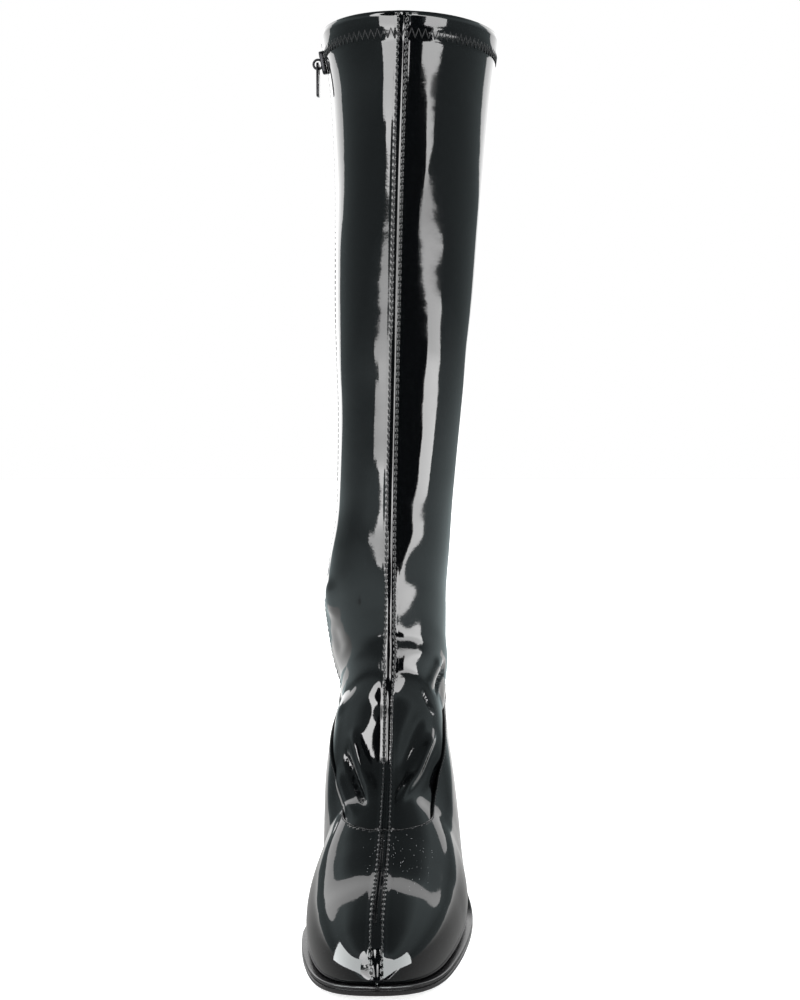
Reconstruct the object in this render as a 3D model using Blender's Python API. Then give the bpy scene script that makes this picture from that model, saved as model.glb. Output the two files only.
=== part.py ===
"""Left go go boot, knee high: stretch patent leg with a front seam and an inner side zip,
a low rounded toe, a thin edged sole and a block heel.

Frame: metres, +Z up, toe towards -Y, outer side of the foot towards +X, zip side towards -X.
The origin is on the floor, under the middle of the heel's top lift.
The leg and the foot share one skin, worked out section by section from the tables below.
"""
import math

import bmesh
import bpy
from mathutils import Matrix, Vector

MM = 0.001

# Driving sizes of the foot
FOOT_LENGTH = 231 * MM
HEEL_BACK_Y = 34 * MM
BALL_WIDTH = 80 * MM
SEAT_WIDTH = 53 * MM
INSTEP_RISE = 67 * MM
HEEL_HEIGHT = 74 * MM
TOE_SPRING = 8 * MM

# Driving sizes of the leg
COLLAR_HEIGHT = 459 * MM
COLLAR_WIDTH = 94.5 * MM
COLLAR_DEPTH = 117 * MM
COLLAR_TILT = 0.5 * MM

# Walls, laps and clearances
SHAFT_WALL = 1.4 * MM
UPPER_WALL = 1.5 * MM
SKIN_GAP = 0.3 * MM
LAP_GAP = 0.45 * MM
BED_TRIM = 0.6 * MM
SEAM_LAP_BACK = 4 * MM
SEAM_LAP_DOWN = 5 * MM
FRONT_SEAM_LIFT = 0.7 * MM
FRONT_SEAM_TOP = 2.4 * MM
FRONT_SEAM_FOOT = 3.3 * MM
NARROWEST_HALF = 1 * MM
HEM_LIFT = 0.5 * MM
HEM_HEIGHT = 11 * MM

# Sole, insole and heel
SOLE_THICKNESS = 4.5 * MM
SEAT_SOLE_THICKNESS = 3 * MM
TOE_LEDGE = 4.8 * MM
SEAT_LEDGE = 2.6 * MM
SOLE_GROOVE = 0.7 * MM
SOLE_CHAMFER = 0.5 * MM
INSOLE_THICKNESS = 2 * MM
INSOLE_CLEARANCE = 1.1 * MM
HEEL_BREAST_Y = -23 * MM
LIFT_LENGTH = 43 * MM
LIFT_WIDTH = 45 * MM
LIFT_THICKNESS = 5 * MM
HEEL_GAP = 0.3 * MM
HEEL_SIDE_SHARE = 0.86
HEEL_BACK_POWER = 1.4
HEEL_WIDTH_POWER = 1.2
HEEL_LEVELS = (0.0, 0.25, 0.5, 0.75, 0.92)

# Zip on the inner side of the leg
ZIP_TURN = math.radians(92)
ZIP_SLIT = 7.2 * MM
ZIP_COIL_WIDTH = 5.4 * MM
ZIP_COIL_RISE = 0.2 * MM
ZIP_TAPE_WIDTH = 25 * MM
ZIP_TAPE_THICKNESS = 0.8 * MM
ZIP_TAPE_GAP = 0.6 * MM
ZIP_STATION_BOTTOM = 9.6
ZIP_STATION_ROOM = 0.06
TAPE_STATION_LAP = 0.10
ZIP_CUT_REACH = 4 * MM
SLIDER_DROP = 11.5 * MM
SLIDER_LENGTH = 12 * MM
SLIDER_WIDTH = 8 * MM
SLIDER_THICKNESS = 2.6 * MM
SLIDER_GAP = 0.3 * MM
SLIDER_TAPER = 0.72
SLIDER_CORNER = 1.6 * MM
SLIDER_RIM = 0.6 * MM
BAIL_HOLE = 1.8 * MM
BAIL_WIRE = 1.3 * MM
BAIL_WIDTH = 1.8 * MM
PULL_LENGTH = 18 * MM
PULL_WIDTH = 5.6 * MM
PULL_THICKNESS = 1.4 * MM
PULL_BAR = 1.4 * MM
PULL_CORNER = 1.3 * MM
PULL_WINDOW_LENGTH = 4.6 * MM
PULL_WINDOW_WIDTH = 3.0 * MM

# Mesh fineness
HALF_COLUMNS = 13
FOOT_ROWS = 30
LEG_ROWS = 22
PLAN_STEPS = 54
ZIP_ROWS = 26
TAPE_COLUMNS = 4
SLIT_ROWS = 30
BAIL_STEPS = 20
HEEL_ROUND_STEPS = 12
THROAT_STEPS = 40
BED_STEPS = 120
UPPER_TOP_STATION = 12.6
LEG_START_STATION = 3.5
SEAM_TOP_LIMIT = 0.10
SEAM_FOOT_LIMIT = 0.15
SEAM_FADE_STATION = 1.5

# The plan of the last's bottom edge, as shares: along is of the foot's length from the
# heel back, inner and outer are of the ball's width from the boot's middle plane.
PLAN_COLUMNS = ("along", "inner", "outer")
PLAN_ROWS = {
    "seat": (0.130, None, None),
    "waist back": (0.260, 0.320, 0.285),
    "waist": (0.390, 0.320, 0.325),
    "waist front": (0.500, 0.415, 0.380),
    "outer ball": (0.561, 0.478, 0.405),
    "inner ball": (0.670, 0.542, None),
}
TOE_SHIFT = -0.125
SEAT_SHIFT = -0.044
INNER_TOE_POWER = 1.9
OUTER_TOE_POWER = 1.65
TOE_SPRING_POWER = 1.8

# The line of the sole's underside: along is a share of the foot's length from the heel
# back, up is a share of the heel's height; the toe's spring has its own size.
SOLE_LINE = (
    (0.000, 1.000),
    (0.110, 0.968),
    (0.190, 0.900),
    (0.270, 0.750),
    (0.350, 0.520),
    (0.430, 0.270),
    (0.510, 0.080),
    (0.590, 0.000),
    (0.830, 0.000),
)

# Foot sections from the toe to the heel's back. Lengths along are shares of the foot's
# length, rise of the instep's, side widths and the seam's shift of the ball's width.
FOOT_COLUMNS = ("seam_along", "seam_rise", "base_along", "inner", "outer", "shift", "fullness")
FOOT_SECTIONS = (
    (1.000, 0.000, 1.000, 0.125, -0.125, -0.125, 0.92),
    (0.987, 0.200, 0.974, 0.330, 0.110, -0.130, 0.92),
    (0.935, 0.380, 0.909, 0.440, 0.250, -0.131, 0.92),
    (0.843, 0.530, 0.813, 0.510, 0.350, -0.119, 0.94),
    (0.722, 0.675, 0.704, 0.542, 0.405, -0.100, 0.96),
    (0.613, 0.890, 0.600, 0.515, 0.400, -0.088, 1.00),
    (0.526, 0.975, 0.496, 0.485, 0.370, -0.081, 1.03),
    (0.457, 0.875, 0.365, 0.480, 0.340, -0.078, 1.03),
    (0.413, 0.675, 0.226, 0.453, 0.310, -0.075, 1.00),
    (0.396, 0.705, 0.096, 0.420, 0.305, -0.072, 0.95),
    (0.389, 0.830, 0.000, 0.418, 0.320, -0.070, 0.90),
)
HEEL_CORNER = len(FOOT_SECTIONS) - 1
TOE_ROUND_END = 4
TOE_ROUND_FADE = 2.0
TOE_SWELL = 1.02

# Leg sections from the heel's back to the collar. seam_up and back_up are shares of the
# leg's rise, the rest are shares of the collar's depth and width.
LEG_COLUMNS = ("seam_up", "seam_fore", "back_up", "back_aft", "inner", "outer", "shift",
               "back_shift")
LEG_SECTIONS = (
    (0.031, 0.470, 0.045, 0.308, 0.397, 0.286, -0.058, -0.042),
    (0.068, 0.474, 0.092, 0.299, 0.423, 0.275, -0.057, -0.053),
    (0.111, 0.483, 0.153, 0.265, 0.443, 0.275, -0.055, -0.053),
    (0.173, 0.496, 0.232, 0.235, 0.413, 0.291, -0.053, -0.048),
    (0.260, 0.513, 0.332, 0.231, 0.365, 0.312, -0.048, -0.037),
    (0.396, 0.538, 0.472, 0.265, 0.354, 0.365, -0.037, -0.011),
    (0.576, 0.581, 0.639, 0.325, 0.370, 0.434, -0.024, 0.032),
    (0.746, 0.624, 0.789, 0.350, 0.365, 0.478, -0.011, 0.063),
    (0.901, 0.658, 0.923, 0.342, 0.386, 0.521, 0.005, 0.085),
    (1.000, 0.675, 1.000, 0.325, 0.439, 0.561, 0.016, 0.095),
)
TOP_STATION = HEEL_CORNER + len(LEG_SECTIONS)
TILT_START = TOP_STATION - 3

# The throat seam in side view, where vamp and counter meet the leg: along is a share of
# the foot's length from the heel back, up is a share of the instep's rise above the last's
# bottom edge. The first row is the front of the tongue-shaped dip over the vamp.
THROAT_COLUMNS = ("along", "up")
THROAT_LINE = (
    (0.670, 0.775),
    (0.600, 0.725),
    (0.565, 0.775),
    (0.475, 0.835),
    (0.410, 0.775),
    (0.235, 0.455),
    (0.105, 0.400),
    (0.000, 0.430),
    (-0.150, 0.460),
)

# The side of the sole from its underside up: inset is a length and up a share of its thickness.
SOLE_PROFILE = (
    (SOLE_CHAMFER, 0.0),
    (0.0, 0.11),
    (0.0, 0.48),
    (SOLE_GROOVE, 0.52),
    (SOLE_GROOVE, 0.68),
    (0.0, 0.72),
    (0.0, 0.93),
    (SOLE_CHAMFER, 1.0),
)

# Finishes: base colour, metallic and roughness
FINISHES = {
    "black_patent": ((0.008, 0.009, 0.010, 1), 0.0, 0.06),
    "black_sole": ((0.018, 0.016, 0.015, 1), 0.0, 0.45),
    "grey_lining": ((0.10, 0.10, 0.11, 1), 0.0, 0.85),
    "black_zip_tape": ((0.012, 0.012, 0.013, 1), 0.0, 0.8),
    "black_zip_coil": ((0.015, 0.015, 0.016, 1), 0.0, 0.4),
    "black_metal": ((0.03, 0.03, 0.032, 1), 0.9, 0.3),
}


def clear_scene():
    """Start from an empty scene."""
    for thing in list(bpy.data.objects):
        bpy.data.objects.remove(thing, do_unlink=True)


def smooth_curve(places, values, flat_start=False, flat_end=False):
    """A curve through the given values that never overshoots between two of them."""
    spans = [b - a for a, b in zip(places, places[1:])]
    steps = [(b - a) / s for a, b, s in zip(values, values[1:], spans)]
    slopes = [0.0 if flat_start else steps[0]]
    for left, right, before, after in zip(steps, steps[1:], spans, spans[1:]):
        if left * right <= 0:
            slopes.append(0.0)
            continue
        near = 2 * after + before
        far = after + 2 * before
        slopes.append((near + far) / (near / left + far / right))
    slopes.append(0.0 if flat_end else steps[-1])

    def read(place):
        place = min(max(place, places[0]), places[-1])
        i = 0
        while i < len(spans) - 1 and place > places[i + 1]:
            i += 1
        t = (place - places[i]) / spans[i]
        start = (1 + 2 * t) * (1 - t) ** 2 * values[i] + t * (1 - t) ** 2 * spans[i] * slopes[i]
        end = t * t * (3 - 2 * t) * values[i + 1] - t * t * (1 - t) * spans[i] * slopes[i + 1]
        return start + end

    return read


def soft_step(value):
    """0 below 0, 1 above 1 and a soft rise between."""
    value = min(max(value, 0.0), 1.0)
    return value * value * (3 - 2 * value)


def y_at(along):
    """The place along the foot of a share measured from the heel's back."""
    return HEEL_BACK_Y - along * FOOT_LENGTH


def share_at(y):
    """The share of the foot's length at a place along it."""
    return (HEEL_BACK_Y - y) / FOOT_LENGTH


def plan_edge(side):
    """The last's bottom edge in plan on one side, as x for a share along the foot."""
    rows = dict(PLAN_ROWS)
    seat = rows["seat"][0]
    column = PLAN_COLUMNS.index("outer" if side > 0 else "inner")
    middle = [(row[0], row[column] * BALL_WIDTH) for row in rows.values()
              if row[column] is not None]
    seat_half = side * SEAT_SHIFT * BALL_WIDTH + SEAT_WIDTH / 2
    places = [seat] + [place for place, _ in middle]
    widths = [seat_half] + [width for _, width in middle]
    curve = smooth_curve(places, widths, flat_start=True, flat_end=True)
    ball, ball_width = places[-1], widths[-1]
    power = OUTER_TOE_POWER if side > 0 else INNER_TOE_POWER
    toe_x = TOE_SHIFT * BALL_WIDTH
    seat_x = SEAT_SHIFT * BALL_WIDTH

    def read(along):
        along = min(max(along, 0.0), 1.0)
        if along < seat:
            reach = 1 - along / seat
            return seat_x + side * SEAT_WIDTH / 2 * math.sqrt(max(0.0, 1 - reach * reach))
        if along <= ball:
            return side * curve(along)
        reach = (along - ball) / (1 - ball)
        full = max(0.0, 1 - reach ** power) ** (1 / power)
        return toe_x + side * (ball_width - side * toe_x) * full

    return read


INNER_EDGE = plan_edge(-1)
OUTER_EDGE = plan_edge(1)
SOLE_UP = smooth_curve([row[0] for row in SOLE_LINE], [row[1] for row in SOLE_LINE],
                       flat_start=False, flat_end=True)
SPRING_START = SOLE_LINE[-1][0]
TREAD_END = SOLE_LINE[-2][0]


def sole_bottom(y):
    """Height of the sole's underside."""
    along = share_at(y)
    spring = max(0.0, (along - SPRING_START) / (1 - SPRING_START))
    return SOLE_UP(along) * HEEL_HEIGHT + TOE_SPRING * spring ** TOE_SPRING_POWER


def sole_thickness(y):
    """The sole thins from the tread to the heel seat."""
    lean = soft_step((share_at(y) - SOLE_LINE[2][0]) / (TREAD_END - SOLE_LINE[2][0]))
    return SEAT_SOLE_THICKNESS + (SOLE_THICKNESS - SEAT_SOLE_THICKNESS) * lean


def last_bottom(y):
    """Height of the last's bottom edge, just clear of the sole's top."""
    return sole_bottom(y) + sole_thickness(y) + SKIN_GAP


def section_curves():
    """Every measure of the sections as a smooth curve over the station number."""
    rows = []
    for row in FOOT_SECTIONS:
        cell = dict(zip(FOOT_COLUMNS, row))
        base_y = y_at(cell["base_along"])
        rows.append({
            "seam_y": y_at(cell["seam_along"]),
            "seam_z": last_bottom(base_y) + cell["seam_rise"] * INSTEP_RISE,
            "base_y": base_y,
            "base_z": last_bottom(base_y) - BED_TRIM,
            "inner": cell["inner"] * BALL_WIDTH,
            "outer": cell["outer"] * BALL_WIDTH,
            "seam_x": cell["shift"] * BALL_WIDTH,
            "base_x": SEAT_SHIFT * BALL_WIDTH,
            "fullness": cell["fullness"],
        })
    front_start = rows[-1]["seam_z"]
    back_start = rows[-1]["base_z"]
    for row in LEG_SECTIONS:
        cell = dict(zip(LEG_COLUMNS, row))
        rows.append({
            "seam_y": -cell["seam_fore"] * COLLAR_DEPTH,
            "seam_z": front_start + cell["seam_up"] * (COLLAR_HEIGHT - front_start),
            "base_y": cell["back_aft"] * COLLAR_DEPTH,
            "base_z": back_start + cell["back_up"] * (COLLAR_HEIGHT - back_start),
            "inner": cell["inner"] * COLLAR_WIDTH,
            "outer": cell["outer"] * COLLAR_WIDTH,
            "seam_x": cell["shift"] * COLLAR_WIDTH,
            "base_x": cell["back_shift"] * COLLAR_WIDTH,
            "fullness": 1.0,
        })
    stations = list(range(len(rows)))
    return {key: smooth_curve(stations, [row[key] for row in rows], flat_start=key == "base_y")
            for key in rows[0]}


CURVES = section_curves()
SECTION_CACHE = {}


def section(station):
    """The measures of one section, with the half widths at its sides and at its base."""
    station = min(max(station, 0.0), float(TOP_STATION))
    if station in SECTION_CACHE:
        return SECTION_CACHE[station]
    cut = {key: curve(station) for key, curve in CURVES.items()}
    feet = {-1: 0.0, 1: 0.0}
    if station < HEEL_CORNER:
        along = share_at(cut["base_y"])
        edges = INNER_EDGE(along), OUTER_EDGE(along)
        cut["base_x"] = (edges[0] + edges[1]) / 2
        cut["base_z"] = last_bottom(cut["base_y"]) - BED_TRIM
        feet = {side: (edges[1] - edges[0]) / 2 for side in (-1, 1)}
    middle = (cut["seam_x"] + cut["base_x"]) / 2
    sides = {-1: cut["inner"] + middle, 1: cut["outer"] - middle}
    fade = soft_step((station - TOE_ROUND_END) / TOE_ROUND_FADE)
    for side in (-1, 1):
        toe_side = feet[side] * TOE_SWELL
        full = max(sides[side], toe_side)
        sides[side] = toe_side + (full - toe_side) * fade
    cut["sides"] = sides
    cut["ends"] = {}
    for side in (-1, 1):
        lean = min(1.0, feet[side] / sides[side]) if sides[side] > 0 else 1.0 / TOE_SWELL
        cut["ends"][side] = math.pi - math.asin(lean ** (1 / cut["fullness"]))
    cut["tilt"] = COLLAR_TILT * soft_step((station - TILT_START) / (TOP_STATION - TILT_START))
    SECTION_CACHE[station] = cut
    return cut


def skin_point(station, turn):
    """A point of the skin: turn is the angle round the section from the front seam."""
    cut = section(station)
    side = 1 if turn >= 0 else -1
    angle = min(abs(turn), cut["ends"][side])
    down = (1 - math.cos(angle)) / (1 - math.cos(cut["ends"][side]))
    bulge = max(0.0, math.sin(angle)) ** cut["fullness"]
    out = side * cut["sides"][side] * bulge
    x = cut["seam_x"] + (cut["base_x"] - cut["seam_x"]) * down + out
    y = cut["seam_y"] + (cut["base_y"] - cut["seam_y"]) * down
    z = cut["seam_z"] + (cut["base_z"] - cut["seam_z"]) * down
    return Vector((x, y, z - side * cut["tilt"] * bulge))


def skin_normal(station, turn):
    """The outward direction of the skin; the toe's tip looks straight ahead."""
    if station < 0.02:
        return Vector((0, -1, 0))
    step = 0.02
    side = 1 if turn >= 0 else -1
    limit = section(station)["ends"][side]
    low = max(abs(turn) - step, 0.0) if abs(turn) > step else abs(turn) - step
    high = abs(turn) + step
    if high > limit and limit < math.pi - 1e-6:
        high = limit
        low = limit - 2 * step
    around = skin_point(station, side * min(high, math.pi)) - skin_point(station, side * low)
    if high > math.pi:
        around = skin_point(station, -side * (2 * math.pi - high)) - skin_point(station,
                                                                               side * low)
    below = max(station - step, 0.0)
    above = min(station + step, float(TOP_STATION))
    along = skin_point(above, turn) - skin_point(below, turn)
    return (around * side).cross(along).normalized()


def column_turn(station, column):
    """The turn of a mesh column: the front seam's columns keep its width, the rest spread."""
    cut = section(station)
    side = 1 if column >= 0 else -1
    end = cut["ends"][side]
    width = max(cut["sides"][side], NARROWEST_HALF)
    seam_top = min(FRONT_SEAM_TOP / width, SEAM_TOP_LIMIT * end)
    seam_foot = min(FRONT_SEAM_FOOT / width, SEAM_FOOT_LIMIT * end)
    rank = abs(column)
    if rank == 0:
        return 0.0
    if rank == 1:
        return side * seam_top
    spread = (rank - 2) / (HALF_COLUMNS - 2)
    return side * (seam_foot + (end - seam_foot) * spread)


def seam_lift(station, column):
    """Height of the front seam's ridge, which fades out at the toe's tip."""
    if abs(column) > 1:
        return 0.0
    return FRONT_SEAM_LIFT * soft_step(station / SEAM_FADE_STATION)


def hem_station():
    """The station at which the turned hem starts."""
    top = skin_point(TOP_STATION, 0).z
    low, high = float(TILT_START), float(TOP_STATION)
    for _ in range(30):
        half = (low + high) / 2
        if top - skin_point(half, 0).z > HEM_HEIGHT:
            low = half
        else:
            high = half
    return high


HEM_STATION = hem_station()
HEM_STEP = 0.02


def make_material(name):
    """A Principled material from the table of finishes."""
    colour, metallic, roughness = FINISHES[name]
    material = bpy.data.materials.get(name) or bpy.data.materials.new(name)
    material.use_nodes = True
    shader = material.node_tree.nodes["Principled BSDF"]
    shader.inputs["Base Color"].default_value = colour
    shader.inputs["Metallic"].default_value = metallic
    shader.inputs["Roughness"].default_value = roughness
    return material


def make_object(name, mesh_source, finish, merge=0.00002):
    """Turn a bmesh into a named object with a finish."""
    bmesh.ops.remove_doubles(mesh_source, verts=mesh_source.verts, dist=merge)
    bmesh.ops.dissolve_degenerate(mesh_source, edges=mesh_source.edges, dist=merge)
    bmesh.ops.recalc_face_normals(mesh_source, faces=mesh_source.faces)
    mesh = bpy.data.meshes.new(name)
    mesh_source.to_mesh(mesh)
    mesh_source.free()
    thing = bpy.data.objects.new(name, mesh)
    bpy.context.collection.objects.link(thing)
    mesh.materials.append(make_material(finish))
    mesh.shade_smooth()
    mesh.set_sharp_from_angle(angle=math.radians(40))
    return thing


def mapped_grid(rows, columns, place):
    """A grid of rows by columns whose corner points are put where place says."""
    sheet = bmesh.new()
    made = bmesh.ops.create_grid(sheet, x_segments=columns, y_segments=rows, size=1)
    for vert in made["verts"]:
        column = round((vert.co.x + 1) / 2 * columns)
        row = round((vert.co.y + 1) / 2 * rows)
        vert.co = place(row, column)
    return sheet


def face_outwards(sheet):
    """Turn an open sheet's faces away from the middle of the leg or foot."""
    middle = Vector((0, 0, 0))
    for vert in sheet.verts:
        middle += vert.co
    middle /= len(sheet.verts)
    votes = 0.0
    for face in sheet.faces:
        votes += face.calc_area() * face.normal.dot(face.calc_center_median() - middle)
    if votes < 0:
        bmesh.ops.reverse_faces(sheet, faces=sheet.faces)


def add_wall(thing, thickness, outwards):
    """Give an open skin its wall."""
    wall = thing.modifiers.new("wall", "SOLIDIFY")
    wall.thickness = thickness
    wall.offset = 1 if outwards else -1
    wall.use_even_offset = True
    wall.use_quality_normals = True
    return wall


def make_skin(name, sheet, finish, thickness, outwards):
    """An open skin with a wall to one side of it."""
    bmesh.ops.remove_doubles(sheet, verts=sheet.verts, dist=0.00002)
    bmesh.ops.recalc_face_normals(sheet, faces=sheet.faces)
    sheet.normal_update()
    face_outwards(sheet)
    mesh = bpy.data.meshes.new(name)
    sheet.to_mesh(mesh)
    sheet.free()
    thing = bpy.data.objects.new(name, mesh)
    bpy.context.collection.objects.link(thing)
    mesh.materials.append(make_material(finish))
    mesh.shade_smooth()
    mesh.set_sharp_from_angle(angle=math.radians(40))
    add_wall(thing, thickness, outwards)
    return thing


def even_foot_stations(count):
    """Stations whose places along the last's bottom edge lie evenly spaced."""
    samples = 400
    stations = [HEEL_CORNER * i / samples for i in range(samples + 1)]
    edge = [skin_point(station, -math.pi) for station in stations]
    travelled = [0.0]
    for before, after in zip(edge, edge[1:]):
        travelled.append(travelled[-1] + (after - before).length)
    chosen = []
    for i in range(count + 1):
        goal = travelled[-1] * i / count
        j = next(k for k, length in enumerate(travelled) if length >= goal - 1e-9)
        chosen.append(stations[j])
    return chosen


def skin_stations():
    """The stations of the mesh rows, the same for the foot's skin and the leg's."""
    foot = even_foot_stations(FOOT_ROWS)
    rise = [HEEL_CORNER + (HEM_STATION - HEEL_CORNER) * i / LEG_ROWS
            for i in range(1, LEG_ROWS + 1)]
    return foot + rise


STATIONS = skin_stations()


def skin_sheet(stations, lift):
    """An open sheet over the given stations; lift gives its height over the bare skin."""

    def place(row, index):
        column = index - HALF_COLUMNS
        station = stations[row]
        turn = column_turn(station, column)
        height = lift(row, station) + seam_lift(station, column)
        return skin_point(station, turn) + skin_normal(station, turn) * height

    return mapped_grid(len(stations) - 1, 2 * HALF_COLUMNS, place)


def throat_outline():
    """The throat seam in side view as points (y, z), front to back."""
    cells = [dict(zip(THROAT_COLUMNS, row)) for row in THROAT_LINE]
    places = [y_at(cell["along"]) for cell in cells]
    heights = [last_bottom(y) + cell["up"] * INSTEP_RISE for y, cell in zip(places, cells)]
    curve = smooth_curve(places, heights)
    points = []
    for i in range(THROAT_STEPS + 1):
        y = places[0] + (places[-1] - places[0]) * i / THROAT_STEPS
        points.append((y, curve(y)))
    return points


def make_throat_cutter(name, lap_back, lap_down):
    """A block with everything above and behind the throat seam, moved by a lap."""
    far_up = COLLAR_HEIGHT * 1.3
    outline = [(y - lap_back, z - lap_down) for y, z in throat_outline()]
    outline += [(outline[-1][0], far_up), (outline[0][0], far_up)]
    return make_side_block(name, outline)


def make_bed_cutter():
    """A block with everything below the top of the sole, to seat the upper on it."""
    start, end = y_at(1.1), y_at(-0.1)
    places = [start + (end - start) * i / BED_STEPS for i in range(BED_STEPS + 1)]
    outline = [(y, last_bottom(y)) for y in places]
    outline += [(end, -FOOT_LENGTH), (start, -FOOT_LENGTH)]
    return make_side_block("sole bed cutter", outline)


def make_side_block(name, outline):
    """A cutter from an outline in side view, pushed right across the boot."""
    far_side = COLLAR_WIDTH * 1.5
    body = bmesh.new()
    loop = [body.verts.new(Vector((-far_side, y, z))) for y, z in outline]
    face = body.faces.new(loop)
    grown = bmesh.ops.extrude_face_region(body, geom=[face])
    moved = [item for item in grown["geom"] if isinstance(item, bmesh.types.BMVert)]
    bmesh.ops.translate(body, vec=(2 * far_side, 0, 0), verts=moved)
    bmesh.ops.recalc_face_normals(body, faces=body.faces)
    mesh = bpy.data.meshes.new(name)
    body.to_mesh(mesh)
    body.free()
    cutter = bpy.data.objects.new(name, mesh)
    bpy.context.collection.objects.link(cutter)
    cutter.hide_render = True
    cutter.display_type = "WIRE"
    return cutter


def add_cut(thing, name, operation, cutter):
    """A Boolean modifier with the exact solver."""
    cut = thing.modifiers.new(name, "BOOLEAN")
    cut.operation = operation
    cut.solver = "EXACT"
    cut.object = cutter
    return cut


def make_upper():
    """Vamp and counter in one: closed over the toe and round the heel, open underneath."""
    stations = [station for station in STATIONS if station <= UPPER_TOP_STATION]
    sheet = skin_sheet(stations, lambda row, station: LAP_GAP)
    upper = make_skin("upper", sheet, "black_patent", UPPER_WALL, outwards=True)
    cutter = make_throat_cutter("throat cutter", 0.0, 0.0)
    add_cut(upper, "throat", "DIFFERENCE", cutter)
    add_cut(upper, "sole bed", "DIFFERENCE", make_bed_cutter())
    return upper


def make_shaft():
    """The leg: starts inside the upper's edge, rises to the collar and has a turned hem."""
    stations = [station for station in STATIONS if station >= LEG_START_STATION]
    plain = len(stations)
    stations += [HEM_STATION + HEM_STEP, (HEM_STATION + TOP_STATION) / 2, float(TOP_STATION)]
    sheet = skin_sheet(stations, lambda row, station: HEM_LIFT if row >= plain else 0.0)
    shaft = make_skin("shaft", sheet, "black_patent", SHAFT_WALL, outwards=False)
    keeper = make_throat_cutter("leg keeper", SEAM_LAP_BACK, SEAM_LAP_DOWN)
    add_cut(shaft, "throat", "INTERSECT", keeper)
    add_cut(shaft, "zip slit", "DIFFERENCE", make_zip_cutter())
    return shaft


def turn_per_metre(station, turn):
    """How much turn one metre round the section takes at a place."""
    step = 0.02
    span = (skin_point(station, turn + step) - skin_point(station, turn - step)).length
    return 2 * step / span


def strip_point(station, across, outwards):
    """A point beside the zip's line: across is metres towards the back, outwards metres."""
    turn = -ZIP_TURN - across * turn_per_metre(station, -ZIP_TURN)
    return skin_point(station, turn) + skin_normal(station, turn) * outwards


def make_strip(name, finish, low, high, rows, columns, width, outer, thickness):
    """A strip that runs up the zip's line, under or level with the skin."""

    def place(row, index):
        station = low + (high - low) * row / rows
        across = width * (index / columns - 0.5)
        return strip_point(station, across, outer)

    sheet = mapped_grid(rows, columns, place)
    sheet.normal_update()
    sample = next(iter(sheet.faces))
    outward = skin_normal((low + high) / 2, -ZIP_TURN)
    if sample.normal.dot(outward) < 0:
        bmesh.ops.reverse_faces(sheet, faces=sheet.faces)
    mesh = bpy.data.meshes.new(name)
    sheet.to_mesh(mesh)
    sheet.free()
    thing = bpy.data.objects.new(name, mesh)
    bpy.context.collection.objects.link(thing)
    mesh.materials.append(make_material(finish))
    add_wall(thing, thickness, outwards=False)
    return thing


def make_zip_cutter():
    """The slot that the zip fills, cut right through the leg's wall and its top edge."""
    cutter = make_solid_strip("zip slit cutter", ZIP_STATION_BOTTOM, ZIP_SLIT)
    cutter.hide_render = True
    cutter.display_type = "WIRE"
    return cutter


def make_solid_strip(name, low, width):
    """A closed strip through the leg's wall, longer than the leg at the top."""
    body = bmesh.new()
    rings = []
    for row in range(SLIT_ROWS + 2):
        station = low + (TOP_STATION - low) * min(row, SLIT_ROWS) / SLIT_ROWS
        up = Vector((0, 0, ZIP_CUT_REACH)) if row > SLIT_ROWS else Vector((0, 0, 0))
        ring = []
        for across, out in ((-1, -1), (1, -1), (1, 1), (-1, 1)):
            point = strip_point(station, across * width / 2, 0)
            normal = skin_normal(station, -ZIP_TURN)
            ring.append(body.verts.new(point + normal * out * ZIP_CUT_REACH + up))
        rings.append(ring)
    for lower, upper in zip(rings, rings[1:]):
        for i in range(4):
            j = (i + 1) % 4
            body.faces.new((lower[i], lower[j], upper[j], upper[i]))
    body.faces.new(rings[0][::-1])
    body.faces.new(rings[-1])
    bmesh.ops.recalc_face_normals(body, faces=body.faces)
    mesh = bpy.data.meshes.new(name)
    body.to_mesh(mesh)
    body.free()
    thing = bpy.data.objects.new(name, mesh)
    bpy.context.collection.objects.link(thing)
    return thing


def make_zip():
    """Tape inside the leg, and the closed coil in the slit."""
    top = HEM_STATION + TAPE_STATION_LAP
    make_strip("zip_tape", "black_zip_tape", ZIP_STATION_BOTTOM - TAPE_STATION_LAP, top,
               ZIP_ROWS, TAPE_COLUMNS, ZIP_TAPE_WIDTH, -SHAFT_WALL - ZIP_TAPE_GAP,
               ZIP_TAPE_THICKNESS)
    coil_thickness = SHAFT_WALL + ZIP_COIL_RISE + ZIP_TAPE_GAP - SKIN_GAP
    make_strip("zip_coil", "black_zip_coil", ZIP_STATION_BOTTOM + ZIP_STATION_ROOM, top,
               ZIP_ROWS, 1, ZIP_COIL_WIDTH, ZIP_COIL_RISE, coil_thickness)


def slider_frame():
    """Where the slider sits: its middle, and its across, up and out directions."""
    top = skin_point(TOP_STATION, -ZIP_TURN).z
    low, high = float(TILT_START), float(TOP_STATION)
    for _ in range(30):
        half = (low + high) / 2
        if top - skin_point(half, -ZIP_TURN).z > SLIDER_DROP:
            low = half
        else:
            high = half
    out = skin_normal(high, -ZIP_TURN)
    up = (skin_point(high, -ZIP_TURN) - skin_point(high - 0.1, -ZIP_TURN)).normalized()
    across = up.cross(out).normalized()
    up = out.cross(across).normalized()
    middle = skin_point(high, -ZIP_TURN)
    return middle, across, up, out


def placed(middle, across, up, out):
    """A matrix whose axes are across, up and out, at a place."""
    turn = Matrix((across, up, out)).transposed().to_4x4()
    return Matrix.Translation(middle) @ turn


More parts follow.
